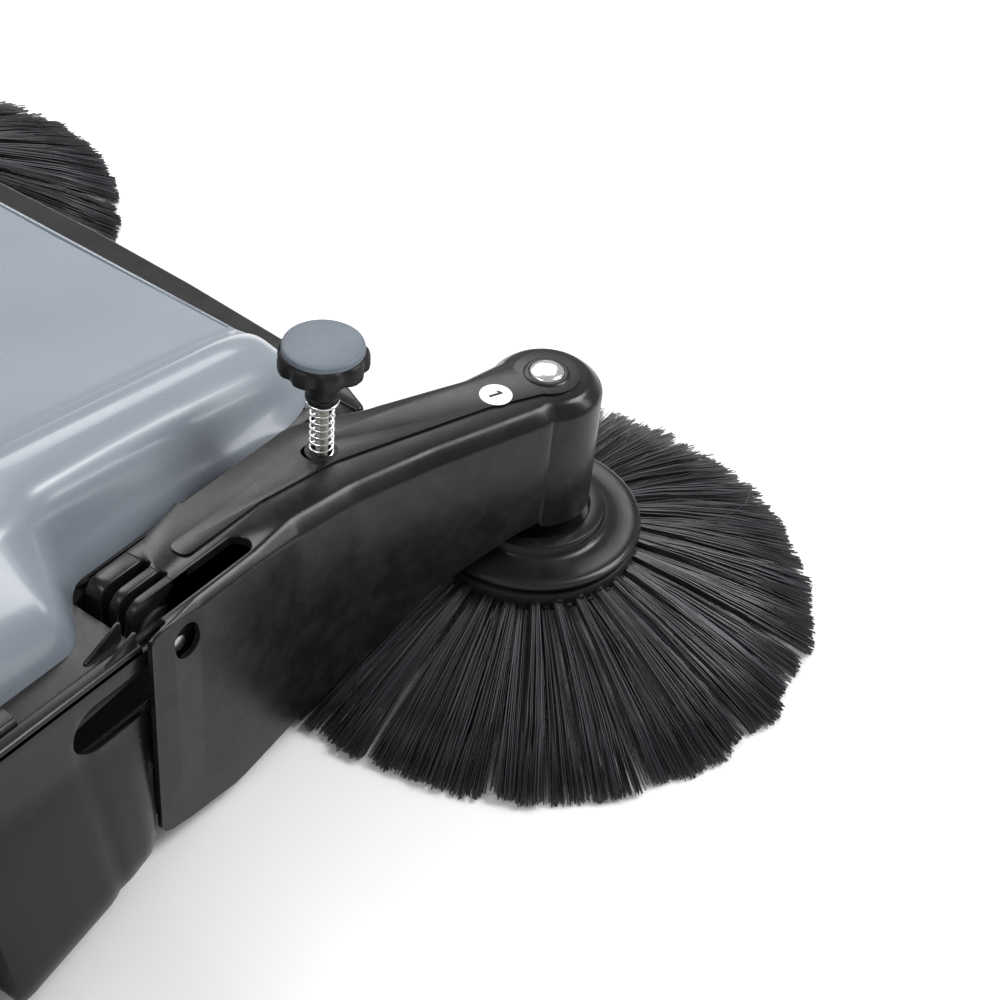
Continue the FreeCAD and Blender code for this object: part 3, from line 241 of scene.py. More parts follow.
def printed_label(name):
    m = Nodes(name)
    base = m.mix(m.spread(m.noise(60.0, 4.0), 0.5, 0.8, 0.0, 0.3), (0.82, 0.82, 0.80), (0.68, 0.67, 0.64))
    m.set(colour=base, rough=m.spread(m.noise(90.0), 0.3, 0.7, 0.4, 0.6))
    return m.bump([(m.noise(500.0), 0.1)], 0.0003)


BLACK = moulded_plastic("black_plastic", (0.0072, 0.0067, 0.0076), 0.25, shine=0.28)
BLACK_ROUGH = moulded_plastic("black_plastic_grained", (0.009, 0.0085, 0.009), 0.44, 0.3, 600.0)
HUB = moulded_plastic("hub_plastic", (0.16, 0.18, 0.20), 0.42, 0.2)
DRIVE = moulded_plastic("drive_plastic", (0.045, 0.045, 0.048), 0.4, 0.2)
KNOB_GREY = moulded_plastic("knob_grey_plastic", (0.115, 0.135, 0.160), 0.42, 0.15, 500.0)
COVER = gloss_cover("cover_plastic")
BRISTLE = filament("bristle_filament")
STEEL = bright_metal("turned_steel", (0.55, 0.55, 0.54), 0.28, 0.3)
ZINC = bright_metal("zinc_wire", (0.78, 0.78, 0.78), 0.16)
THREAD = bright_metal("threaded_steel", (0.40, 0.385, 0.35), 0.36, 0.1)
CHROME = bright_metal("polished_cap", (0.92, 0.92, 0.92), 0.10, spotted=0.04)
TYRE = rubber("tyre_rubber")
BELT = rubber("belt_rubber", (0.014, 0.014, 0.014), 0.6, 900.0)
GRIP = foam("grip_foam")
PAINT = powder_coat("powder_coat")
LABEL = printed_label("label_white")
INK = moulded_plastic("label_ink", (0.01, 0.01, 0.01), 0.5, 0.0)


# ---- mesh tools ---------------------------------------------------------------------------

def linked(name, data):
    """A new object in the scene."""
    thing = bpy.data.objects.new(name, data)
    bpy.context.scene.collection.objects.link(thing)
    return thing


def released(thing):
    """The mesh of a working object, which goes away."""
    mesh = thing.data
    bpy.data.objects.remove(thing, do_unlink=True)
    return mesh


def new_object(name, mesh, body, material, replaced=()):
    """Link a finished mesh as a piece that rides on a body."""
    thing = linked(name, mesh)
    if material is not None:
        mesh.materials.clear()
        mesh.materials.append(material)
    if body is not None:
        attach(thing, body)
    if replaced:
        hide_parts(*replaced)
    return thing


def raw_mesh(name, points, faces):
    """A mesh from points in millimetres."""
    mesh = bpy.data.meshes.new(name)
    mesh.from_pydata([place(*p) for p in points], [], faces)
    mesh.update()
    return mesh


def round_corners(points, radii, steps=5, closed=True):
    """A 2D outline with its corners rounded; radii is one number or one for each corner."""
    count = len(points)
    result = []
    for i, point in enumerate(points):
        radius = radii[i] if isinstance(radii, (list, tuple)) else radii
        if (not closed and i in (0, count - 1)) or radius <= 0:
            result.append(tuple(point))
            continue
        here = Vector(point)
        before = Vector(points[i - 1]) - here
        after = Vector(points[(i + 1) % count]) - here
        angle = before.angle(after)
        if angle > math.radians(179):
            result.append(tuple(point))
            continue
        reach = min(radius / math.tan(angle / 2), before.length * 0.49, after.length * 0.49)
        radius = reach * math.tan(angle / 2)
        centre = here + (before.normalized() + after.normalized()).normalized() * (
            radius / math.sin(angle / 2))
        start = here + before.normalized() * reach - centre
        end = here + after.normalized() * reach - centre
        turn = start.angle_signed(end)
        for k in range(steps + 1):
            arm = start.copy()
            arm.rotate(Matrix.Rotation(-turn * k / steps, 2))
            result.append(tuple(centre + arm))
    return result


def prism(name, outline, low, high, axis="z"):
    """A closed prism from a 2D outline: along z in (x, y), along x in (y, z), along y in (x, z)."""
    order = {"z": lambda a, b, c: (a, b, c), "x": lambda a, b, c: (c, a, b),
             "y": lambda a, b, c: (a, c, b)}[axis]
    count = len(outline)
    points = [order(a, b, low) for a, b in outline] + [order(a, b, high) for a, b in outline]
    faces = [list(range(count)), list(range(count, 2 * count))]
    faces += [[i, (i + 1) % count, count + (i + 1) % count, count + i] for i in range(count)]
    mesh = raw_mesh(name, points, faces)
    tidy_normals(mesh)
    return linked(name, mesh)


def tidy_normals(mesh, weld=0.0, fill=False, flatten=False):
    """Turn faces outwards, after welding near points, filling holes or merging flat faces."""
    shape = bmesh.new()
    shape.from_mesh(mesh)
    if weld:
        bmesh.ops.remove_doubles(shape, verts=shape.verts, dist=weld)
    if fill:
        bmesh.ops.holes_fill(shape, edges=shape.edges, sides=0)
    if flatten:
        bmesh.ops.dissolve_limit(shape, angle_limit=math.radians(0.5), verts=shape.verts,
                                 edges=shape.edges)
    bmesh.ops.recalc_face_normals(shape, faces=shape.faces)
    shape.to_mesh(mesh)
    shape.free()


def lathe(name, profile, centre, axis="z", segments=96, start=0.0):
    """A mesh turned from (radius, height) points about an axis through a centre in millimetres."""
    points, faces = [], []
    count = len(profile)
    for k in range(segments):
        angle = start + 2 * math.pi * k / segments
        c, s = math.cos(angle), math.sin(angle)
        for radius, height in profile:
            if axis == "z":
                points.append((centre[0] + radius * c, centre[1] + radius * s, centre[2] + height))
            elif axis == "x":
                points.append((centre[0] + height, centre[1] + radius * c, centre[2] + radius * s))
    for k in range(segments):
        j = (k + 1) % segments
        for i in range(count - 1):
            faces.append([k * count + i, j * count + i, j * count + i + 1, k * count + i + 1])
    mesh = raw_mesh(name, points, faces)
    tidy_normals(mesh, weld=1e-7, fill=True)
    return mesh


def skin_of_rings(name, points, count, around):
    """A closed skin over rings of points, with a flat face at both ends."""
    faces = []
    for i in range(count - 1):
        for k in range(around):
            n = (k + 1) % around
            faces.append([i * around + k, i * around + n, (i + 1) * around + n, (i + 1) * around + k])
    faces.append(list(range(around))[::-1])
    faces.append(list(range((count - 1) * around, count * around)))
    mesh = raw_mesh(name, points, faces)
    tidy_normals(mesh)
    return mesh


def apply_all(thing):
    """Replace an object's mesh by its evaluated one and drop the modifiers."""
    graph = bpy.context.evaluated_depsgraph_get()
    graph.update()
    mesh = bpy.data.meshes.new_from_object(thing.evaluated_get(graph))
    thing.modifiers.clear()
    thing.data = mesh
    return mesh


def bevel(thing, width, segments=3, angle=30.0):
    modifier = thing.modifiers.new("bevel", "BEVEL")
    modifier.width = width * MM
    modifier.segments = segments
    modifier.limit_method = "ANGLE"
    modifier.angle_limit = math.radians(angle)
    modifier.use_clamp_overlap = True
    modifier.miter_outer = "MITER_ARC"
    apply_all(thing)


def thicken(thing, wall):
    """Give an open skin a wall, measured inwards."""
    shell = thing.modifiers.new("shell", "SOLIDIFY")
    shell.thickness = wall * MM
    shell.offset = -1
    apply_all(thing)


def cut(thing, *tools):
    """Take tool objects away from a thing and remove the tools."""
    for tool in tools:
        modifier = thing.modifiers.new("boolean", "BOOLEAN")
        modifier.object = tool
        modifier.operation = "DIFFERENCE"
        modifier.solver = "EXACT"
        apply_all(thing)
        bpy.data.objects.remove(tool, do_unlink=True)


def smooth(mesh, angle=32.0):
    mesh.shade_smooth()
    mesh.set_sharp_from_angle(angle=math.radians(angle))


def settle(thing, name, body, material, replaced=(), angle=32.0):
    """Turn a worked object into a finished piece."""
    mesh = released(thing)
    mesh.name = name
    smooth(mesh, angle)
    return new_object(name, mesh, body, material, replaced)


def mirror_mesh(mesh, name):
    """The left-hand twin of a mesh, its faces still outwards."""
    twin = mesh.copy()
    twin.name = name
    twin.transform(Matrix.Scale(-1, 4, (1, 0, 0)))
    twin.flip_normals()
    return twin


def both_sides(mesh, name, body, material, replaced=()):
    """A right-hand mesh and its left-hand twin, each on its own side's body."""
    new_object(name + "_right_look", mesh, body.format(side="right"), material,
               [r.format(side="right") for r in replaced])
    new_object(name + "_left_look", mirror_mesh(mesh, name + "_left_look"),
               body.format(side="left"), material,
               [r.format(side="left") for r in replaced])


def join_meshes(name, meshes):
    """One mesh from several; material slots stay apart."""
    shape = bmesh.new()
    materials = []
    for mesh in meshes:
        offset = len(shape.faces)
        shape.from_mesh(mesh)
        shape.faces.ensure_lookup_table()
        index = []
        for material in mesh.materials:
            if material not in materials:
                materials.append(material)
            index.append(materials.index(material))
        for face in shape.faces[offset:]:
            if index:
                face.material_index = index[min(face.material_index, len(index) - 1)]
    result = bpy.data.meshes.new(name)
    shape.to_mesh(result)
    shape.free()
    for material in materials:
        result.materials.append(material)
    return result


def bevelled_copy(node, body, material, width):
    """A CAD node's shape with its sharp edges softened as a mould leaves them."""
    mesh = frame["nodes"][node].data.copy()
    tidy_normals(mesh, weld=2e-6, flatten=True)
    thing = linked(node + "_work", mesh)
    bevel(thing, width, 2, 28.0)
    settle(thing, node + "_look", body, material, [node], angle=40.0)


def swept_tube(name, points, radius, sides=10, closed=False):
    """A round tube along points in millimetres."""
    path = [Vector(p) for p in points]
    count = len(path)
    verts, faces = [], []
    normal = None
    for i, here in enumerate(path):
        ahead = path[(i + 1) % count] if closed or i < count - 1 else here
        behind = path[i - 1] if closed or i > 0 else here
        along = (ahead - behind).normalized()
        if normal is None:
            normal = along.orthogonal().normalized()
        normal = (normal - along * normal.dot(along)).normalized()
        side = along.cross(normal)
        for k in range(sides):
            angle = 2 * math.pi * k / sides
            verts.append(here + (normal * math.cos(angle) + side * math.sin(angle)) * radius)
    rings = count if closed else count - 1
    for i in range(rings):
        j = (i + 1) % count
        for k in range(sides):
            n = (k + 1) % sides
            faces.append([i * sides + k, i * sides + n, j * sides + n, j * sides + k])
    if not closed:
        faces.append(list(range(sides))[::-1])
        faces.append(list(range((count - 1) * sides, count * sides)))
    mesh = raw_mesh(name, verts, faces)
    tidy_normals(mesh)
    mesh.shade_smooth()
    return mesh


def between(marks, y):
    """A value read off straight lines between (y, value) marks."""
    for (y0, v0), (y1, v1) in zip(marks, marks[1:]):
        if y <= y1:
            return v0 + (v1 - v0) * max(0.0, (y - y0) / (y1 - y0))
    return marks[-1][1]


def eased(t):
    t = min(1.0, max(0.0, t))
    return t * t * (3 - 2 * t)


# ---- side brushes -------------------------------------------------------------------------

TIP = 199.4
ROOT = 67.0
TUFTS = 60
STRANDS = 74


def strand(points, faces, path, radius):
    """Add one thin three-sided hair along a short path."""
    first = len(points)
    count = len(path)
    for i, here in enumerate(path):
        along = (path[min(i + 1, count - 1)] - path[max(i - 1, 0)]).normalized()
        side = along.cross(Vector((0, 0, 1))).normalized()
        lift = side.cross(along)
        size = radius * (1.0 - 0.35 * i / (count - 1))
        for k in range(3):
            angle = math.pi / 2 + 2 * math.pi * k / 3
            points.append(here + side * (math.cos(angle) * size) + lift * (math.sin(angle) * size))
    for i in range(count - 1):
        for k in range(3):
            n = (k + 1) % 3
            a = first + i * 3
            faces.append([a + k, a + n, a + 3 + n, a + 3 + k])
    last = first + (count - 1) * 3
    faces.append([last, last + 1, last + 2])


def brush_tufts():
    """Sixty tufts of hairs fanning out and down from the bristle ring."""
    rng = random.Random(41)
    points, faces = [], []
    for tuft in range(TUFTS):
        middle = 2 * math.pi * (tuft + 0.5) / TUFTS + rng.uniform(-0.008, 0.008)
        row = 1 if tuft % 2 else -1
        tuft_reach = TIP - min(11.0, abs(rng.gauss(0, 4.0)))
        lean = rng.gauss(0, 0.016)
        fan = rng.uniform(0.72, 0.97)
        sag = rng.gauss(0, 1.6)
        for _ in range(STRANDS):
            across = rng.uniform(-1, 1)
            across = math.copysign(abs(across) ** 0.8, across)
            depth = rng.uniform(-1, 1)
            root_angle = middle + across * 2.7 / ROOT
            reach = tuft_reach - abs(rng.gauss(0, 2.4)) - (abs(across) ** 4) * rng.uniform(0, 5)
            tip_angle = middle + lean + across * fan * math.pi / TUFTS + rng.gauss(0, 0.011)
            root_z = 48.0 + row * 2.6 + depth * 2.4
            tip_z = max(0.8, 3.8 + depth * 2.6 + sag * 0.6 + rng.gauss(0, 1.1))
            bend = rng.gauss(0, 1.3)
            path = []
            for step in range(4):
                t = step / 3
                radius = ROOT - 2 + (reach - ROOT + 2) * t
                angle = root_angle + (tip_angle - root_angle) * t ** 1.22
                height = root_z + (tip_z - root_z) * t + 5.0 * math.sin(math.pi * t) * 0.55
                height += bend * math.sin(math.pi * t)
                path.append(Vector((math.cos(angle) * radius, math.sin(angle) * radius, height)))
            strand(points, faces, path, rng.uniform(0.56, 0.84))
    for _ in range(26):
        angle = rng.uniform(0, 2 * math.pi)
        swing = rng.uniform(-0.5, 0.5)
        reach = rng.uniform(120, 192)
        path = []
        for step in range(7):
            t = step / 6
            radius = 72 + (reach - 72) * t
            turn = angle + swing * t * t
            path.append(Vector((math.cos(turn) * radius, math.sin(turn) * radius,
                                52 - 36 * t + 8 * math.sin(math.pi * t))))
        strand(points, faces, path, 0.28)
    shifted = [(p.x - BRUSH_X, p.y, p.z) for p in points]
    return raw_mesh("side_brush_tufts", shifted, faces)


def side_brushes():
    tufts = brush_tufts()
    tufts.shade_smooth()
    both_sides(tufts, "side_brush_tufts", "side_brush_{side}", BRISTLE,
               ["side_brush_bristles_{side}"])
    centre = (-BRUSH_X, 0, 0)
    ring = lathe("ring", [(24.3, 42.4), (68.5, 42.4), (70.2, 43.0), (71.0, 44.5), (71.0, 55.0),
                          (70.5, 56.3), (69.4, 56.9), (66.5, 57.0), (66.0, 56.6), (24.3, 56.6)],
                 centre, segments=144)
    smooth(ring)
    sockets = []
    for tuft in range(TUFTS):
        angle = 2 * math.pi * (tuft + 0.5) / TUFTS
        height = 48.0 + (2.6 if tuft % 2 else -2.6)
        start = Vector((math.cos(angle) * 69, math.sin(angle) * 69, height))
        end = Vector((math.cos(angle) * 71.9, math.sin(angle) * 71.9, height - 0.9))
        sockets.append(swept_tube("socket", [start + Vector(centre), end + Vector(centre)], 3.3, 10))
    ring = join_meshes("bristle_ring", [ring] + sockets)
    smooth(ring)
    both_sides(ring, "bristle_ring", "side_brush_{side}", BLACK_ROUGH, ["bristle_ring_{side}"])
    flange = lathe("flange", [
        (7, 57.4), (63, 57.4), (64.5, 58.4), (66, 60.4), (69, 60.9), (71.6, 61.3), (72.3, 62.3),
        (72.3, 63.6), (71.7, 65.2), (70.3, 66.3), (68.0, 66.9), (64.8, 66.7), (57, 66.9), (52.5, 67.5),
        (50, 68.3), (48.4, 69.8), (47.6, 71.8), (47.2, 74.0), (46.4, 75.4), (44.8, 76.0), (38, 76.0),
        (37, 75.0), (37, 71.5), (14, 71.5), (13, 75.9), (6.2, 75.9)], centre, segments=160)
    smooth(flange, 30)
    both_sides(flange, "brush_flange", "side_brush_{side}", BLACK, ["brush_flange_{side}"])


# ---- arms ---------------------------------------------------------------------------------

ARM_TOP = 178.0
SLOT_X, SLOT_HALF, SLOT_FRONT = -289.25, 7.75, 240.5
GAPS = ((-261.5, 3.0), (-274.25, 2.75))
FINGERS = ((-258.5, -247.0), (-271.3, -264.5), (-281.5, -277.0))
BODY_BACK = 284.0
HEAD = 36.0
CHAMFER = 10.0
# how wide the rolled top edge is at each distance back
ROLLED_EDGE = ((0, CHAMFER), (205, CHAMFER), (235, 6.0), (285, 5.4), (306, 1.3), (323, 1.2))


def head_arc(radius, start, end, steps):
    return [(-BRUSH_X + radius * math.cos(math.radians(start + (end - start) * k / steps)),
             radius * math.sin(math.radians(start + (end - start) * k / steps)))
            for k in range(steps + 1)]


def inset_points(outline, amounts):
    """Each outline point moved inwards by its own amount (outline runs anticlockwise)."""
    result = []
    count = len(outline)
    for i, point in enumerate(outline):
        here = Vector(point)
        before = (here - Vector(outline[i - 1])).normalized()
        after = (Vector(outline[(i + 1) % count]) - here).normalized()
        one, two = Vector((-before.y, before.x)), Vector((-after.y, after.x))
        push = (one + two) / max(0.35, 1 + one.dot(two))
        result.append(tuple(here + push * amounts[i]))
    return result


def arch_height(y):
    """Lower edge of the arm's outer wall: low at the rear, arched over the brush."""
    marks = [(-60, 92), (18, 92), (46, 88), (72, 80), (100, 70), (126, 55), (150, 40), (180, 29),
             (212, 20), (259, 10), (300, 14.5), (315, 17.5), (320, 20), (323, 25)]
    return between(marks, y)


def tail_drop(y):
    """How far the top of the side plate falls away at its rounded rear corner."""
    t = min(1.0, max(0.0, (y - 315) / 8))
    return 6.5 * (1 - math.sqrt(1 - t * t))


def arm_shell():
    """Thin-walled arm: one plan outline with its own lower edge and a rolled top edge."""
    corners = [(-305, 323), (-305, 262), (-305, 205), (-311, 160), (-326, 105), (-349.5, 37)]
    outer = round_corners(corners, [0, 0, 90, 80, 120, 0], 10, closed=False)
    dense = []
    outer += [(-351.9, 30.2)]
    for a, b in zip(outer, outer[1:] + [head_arc(HEAD, 134, 134, 1)[0]]):
        parts = max(1, int((Vector(b) - Vector(a)).length // (3 if a[1] > 290 else 8)))
        dense += [tuple(Vector(a).lerp(Vector(b), k / parts)) for k in range(parts)]
    head = head_arc(HEAD, 134, 372, 60)
    ends = []
    for x, half, y in [(*gap, BODY_BACK) for gap in GAPS] + [(SLOT_X, SLOT_HALF, SLOT_FRONT)]:
        ends.append([(x + half * math.cos(math.radians(a)), y - half * math.sin(math.radians(a)))
                     for a in range(0, 181, 15)])
    inner = round_corners([head[-1], (-286, 34), (-264, 98), (-239, 142), (-239, 238), (-247, 270),
                           (-247, BODY_BACK)] + ends[0] + ends[1] + [(-281.5, BODY_BACK), (-281.5, 262)]
                          + ends[2] + [(-297, 262), (-297, 309), (-301.5, 309), (-301.5, 323)],
                          [0, 30, 60, 40, 30, 15, 2] + [0] * 26 + [1, 0] + [0] * 13 + [0, 1, 1, 1], 7,
                          closed=False)[1:]
    outline = dense + head + inner
    lows, widths = [], []
    for i, (x, y) in enumerate(outline):
        if i < len(dense):
            lows.append(arch_height(y))
            widths.append(between(ROLLED_EDGE, y))
        elif i < len(dense) + len(head):
            lows.append(84.0)
            widths.append(CHAMFER)
        elif x < -301:
            lows.append(arch_height(y))
            widths.append(0.6)
        elif y < 44:
            lows.append(84.0)
            widths.append(CHAMFER)
        else:
            lows.append(168.5 if y > 255 else 148.0)
            widths.append(4.0 if y < 236 and x > -270 else 0.9)
    steps = [(0.0, ARM_TOP - CHAMFER), (0.05, ARM_TOP - CHAMFER * 0.82), (0.16, ARM_TOP - CHAMFER * 0.64),
             (0.60, ARM_TOP - CHAMFER * 0.22), (0.80, ARM_TOP - CHAMFER * 0.08), (1.0, ARM_TOP)]
    rings = [[(x, y, low) for (x, y), low in zip(outline, lows)]]
    for share, height in steps:
        moved = inset_points(outline, [w * share for w in widths])
        rings.append([(x, y, ARM_TOP - (ARM_TOP - height) * min(1.0, w / CHAMFER))
                      for (x, y), w in zip(moved, widths)])
    skins = [1.0 if y > 300 or (y > 255 and x > -298) else 3.4 for x, y in outline]
    inside = inset_points(outline, skins)
    inside_low = [(x, y, low) for (x, y), low in zip(inside, lows)]
    inside_mid = [(x, y, max(ARM_TOP - 17, low + 0.6)) for (x, y), low in zip(inside, lows)]
    deeper = inset_points(outline, [max(skin, w * 0.6) for skin, w in zip(skins, widths)])
    inside_top = [(x, y, ARM_TOP - 6) for x, y in deeper]
    layers = [inside_top, inside_mid, inside_low] + rings
    count = len(outline)
    points = [(x, y, z - tail_drop(y) * (z > ARM_TOP - CHAMFER - 1))
              for layer in layers for x, y, z in layer]
    faces = [list(range(count))]
    for k in range(len(layers) - 1):
        faces += [[k * count + i, k * count + (i + 1) % count, (k + 1) * count + (i + 1) % count,
                   (k + 1) * count + i] for i in range(count)]
    faces.append(list(range((len(layers) - 1) * count, len(layers) * count)))
    mesh = raw_mesh("arm_shell", points, faces)
    tidy_normals(mesh)
    return linked("arm_shell", mesh)


def obround(x0, y0, x1, y1, radius, steps=10):
    """A slot outline between two centres."""
    start, end = Vector((x0, y0)), Vector((x1, y1))
    heading = math.atan2(end.y - start.y, end.x - start.x)
    result = []
    for centre, base in ((end, heading - math.pi / 2), (start, heading + math.pi / 2)):
        for k in range(steps + 1):
            angle = base + math.pi * k / steps
            result.append((centre.x + radius * math.cos(angle), centre.y + radius * math.sin(angle)))
    return result


def rod_hole():
    """The tool for the opening that the adjuster's rod swings in."""
    return prism("rod_hole", obround(-272, 149.5, -269.5, 152, 8.6), 160, 190)


def arms():
    shell = arm_shell()
    cut(shell,
        rod_hole(),
        prism("plate_hole", obround(296.5, 154.5, 297.5, 160.5, 9.2), -320, -299, "x"))
    bevel(shell, 0.8, 2, 40)
    arm = settle(shell, "arm_shell_work", None, None, angle=38)
    pieces = [arm.data]
    plateau = prism("plateau", round_corners(
        [(-275.5, 267), (-275.5, 205), (-284.5, 150), (-299, 110), (-311, 77), (-321, 50)]
        + [(-327 + 21 * math.cos(math.radians(a)), 21 * math.sin(math.radians(a)))
           for a in range(120, 391, 9)]
        + [(-289, 59), (-280, 86), (-269, 119), (-262.5, 150), (-262.5, 267)],
        [5, 30, 40, 0, 0, 4] + [0] * 31 + [10, 0, 40, 40, 5], 6), ARM_TOP - 1, ARM_TOP + 1.5)
    cut(plateau, rod_hole())
    bevel(plateau, 0.7, 3, 40)
    smooth(plateau.data)
    pieces.append(released(plateau))
    collar = lathe("cap_collar", [(11.2, ARM_TOP + 1.0), (11.4, ARM_TOP + 2.4), (12.6, ARM_TOP + 2.6),
                                  (14.4, ARM_TOP + 1.9), (15.2, ARM_TOP + 1.0)],
                   (-BRUSH_X, 0, 0), segments=72)
    smooth(collar, 50)
    pieces.append(collar)
    for index, (low, high) in enumerate(FINGERS):
        finger = prism("finger", round_corners(
            [(272, 177.6), (294, 177.6), (315, 177.6), (315, 146), (309, 138.5), (296, 138.5), (289, 146),
             (283, 166), (272, 169)], [0, 0, 20, 7, 6, 6, 8, 6, 0], 8), low, high, "x")
        if index == 2:
            turns = [math.radians(a) for a in range(0, 360, 10)]
            round_clear = [(296 + 16.4 * math.cos(a), 150 + 16.4 * math.sin(a)) for a in turns]
            cut(finger, prism("clear", round_clear, low - 5, high + 5, "x"))
        bevel(finger, 1.2, 3, 50)
        smooth(finger.data)
        pieces.append(released(finger))
    boss = lathe("boss", [(6.1, 150), (14, 150), (14, 172.5), (6.1, 172.5)], (-BRUSH_X, 0, 0))
    smooth(boss)
    web = lathe("head_web", [(8, 84.5), (33, 84.5), (33, 91), (8, 91)], (-BRUSH_X, 0, 0))
    smooth(web)
    pieces += [boss, web]
    bpy.data.objects.remove(arm, do_unlink=True)
    for piece in pieces:
        piece.materials.clear()
    whole = join_meshes("arm_housing", pieces)
    both_sides(whole, "arm_housing", "arm_{side}", BLACK, ["arm_housing_{side}"])
    cap = lathe("head_cap", [(11, ARM_TOP + 0.2), (11, ARM_TOP + 2.2), (10.6, ARM_TOP + 3.1),
                             (9.6, ARM_TOP + 3.8), (7.6, ARM_TOP + 4.3), (4.2, ARM_TOP + 4.6),
                             (0, ARM_TOP + 4.7)], (-BRUSH_X, 0, 0), segments=72)
    smooth(cap, 40)
    both_sides(cap, "head_cap", "arm_{side}", CHROME, ["head_cap_{side}"])
    sticker()


def sticker():
    """A round white assembly sticker with a plain numeral on the right arm."""
    centre = Vector((-316.5, 38.7, 0))
    disc = lathe("sticker", [(10.2, ARM_TOP + 1.25), (10.2, ARM_TOP + 1.5), (0, ARM_TOP + 1.52)],
                 centre, segments=48)
    smooth(disc)
    new_object("assembly_sticker", disc, "arm_right", LABEL)
    glyph = [(-1.0, -4.6), (0.9, -4.6), (0.9, 4.6), (-0.6, 4.6), (-3.0, 2.9), (-2.3, 1.7), (-1.0, 2.5)]
    turn = Matrix.Rotation(math.radians(-203), 2)
    outline = [tuple(turn @ Vector(p) + centre.xy) for p in glyph]
    numeral = prism("numeral", outline, ARM_TOP + 1.5, ARM_TOP + 1.62)
    settle(numeral, "assembly_numeral", "arm_right", INK)


# ---- pressure adjusters -------------------------------------------------------------------

ROD = (-272.0, 149.0)
SPRING_TOP = 215.6


def knob_body():
    """Nine-lobed hand knob: neck, flared underside, scalloped rim."""
    rings = [(218.0, 7.6), (218.2, 9.4), (219.0, 10.0), (221.4, 10.0), (222.0, 9.2), (233.0, 9.6),
             (236.5, 11.4), (238.4, 15.0), (239.8, 20.5), (240.8, 24.4), (242.2, 26.2),
             (244.5, 26.6), (249.0, 26.5), (251.2, 25.9), (252.6, 24.9), (253.2, 23.9), (253.2, 21.0)]
    around = 144
    points = []
    for height, radius in rings:
        share = min(1.0, max(0.0, (radius - 17) / 7.0))
        depth = 2.3 * share * share * (3 - 2 * share)
        for k in range(around):
            angle = 2 * math.pi * k / around
            notch = (0.5 + 0.5 * math.cos(9 * angle)) ** 2.4
            r = radius - depth * notch
            points.append((ROD[0] + r * math.cos(angle), ROD[1] + r * math.sin(angle), height))
    mesh = skin_of_rings("adjuster_knob", points, len(rings), around)
    smooth(mesh, 40)
    return mesh


def helix(name, centre, radius, low, high, turns, wire, flat=0.6):
    """A wound wire spring with its last turn closed flat."""
    points = []
    steps = int(turns * 28)
    for k in range(steps + 1):
        t = k / steps
        angle = 2 * math.pi * turns * t
        rise = t
        near_end = flat / turns
        if t > 1 - near_end:
            rise = 1 - (1 - t) * 0.25
        elif t > 1 - 2 * near_end:
            blend = (t - 1 + 2 * near_end) / near_end
            rise = min(t + blend * near_end * 0.75, 1 - near_end * 0.25)
        points.append((centre[0] + radius * math.cos(angle), centre[1] + radius * math.sin(angle),
                       low + (high - low) * rise))
    return swept_tube(name, points, wire, 8)


def threaded_rod(name, centre, low, high, thread_low, radius=4.0, pitch=1.25, depth=0.42):
    """A rod with a real helical thread above thread_low."""
    around, rows = 20, [low]
    height = thread_low
    while height < high:
        rows.append(height)
        height += pitch / 4
    rows.append(high)
    points = []
    for row in rows:
        for k in range(around):
            angle = 2 * math.pi * k / around
            r = radius
            if thread_low < row < high - 0.5:
                phase = (row / pitch - k / around) % 1.0
                r = radius - depth * (0.5 + 0.5 * math.cos(2 * math.pi * phase))
            points.append((centre[0] + r * math.cos(angle), centre[1] + r * math.sin(angle), row))
    mesh = skin_of_rings(name, points, len(rows), around)
    smooth(mesh, 50)
    return mesh


def adjusters():
    both_sides(knob_body(), "adjuster_knob", "adjuster_{side}", BLACK_ROUGH,
               ["adjuster_knob_{side}"])
    disc = lathe("knob_disc", [(0, 252.9), (23.2, 252.9), (23.7, 253.4), (23.7, 255.4), (23.3, 256.4),
                               (22.3, 257.0), (20.4, 257.35), (12, 257.75), (0, 257.9)],
                 (*ROD, 0), segments=96)
    smooth(disc, 35)
    both_sides(disc, "knob_disc", "adjuster_{side}", KNOB_GREY, ["knob_disc_{side}"])
    both_sides(threaded_rod("adjuster_rod", ROD, 60, 239.5, 150), "adjuster_rod", "adjuster_{side}",
               THREAD, ["adjuster_rod_{side}"])
    for side in ("right", "left"):
        spring = helix("spring", ROD, 6.9, 176.5, SPRING_TOP, 7.6, 0.72)
        if side == "left":
            spring = mirror_mesh(spring, "spring_left")
        thing = new_object(f"adjuster_spring_{side}_look", spring, f"spring_seat_{side}", ZINC,
                           [f"adjuster_spring_{side}"])
        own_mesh(thing)
    seat = swept_tube("seat_ring", [(ROD[0] + 9.0 * math.cos(a), ROD[1] + 9.0 * math.sin(a), 216.6)
                                    for a in (2 * math.pi * k / 40 for k in range(40))], 0.95, 8, True)
    dish = lathe("seat_dish", [(4.2, 215.7), (8.8, 215.7), (9.3, 216.2), (9.3, 217.0), (4.2, 217.4)],
                 (*ROD, 0), segments=48)
    smooth(dish)
    both_sides(join_meshes("spring_seat", [seat, dish]), "spring_seat", "spring_seat_{side}", ZINC,
               ["spring_seat_{side}"])


# ---- cover --------------------------------------------------------------------------------

COVER_FRONT, COVER_BAY, COVER_FLARE, COVER_REAR = 94.2, 306.0, 352.0, 521.8
NOSE = 46
COVER_FOOT = 165.2


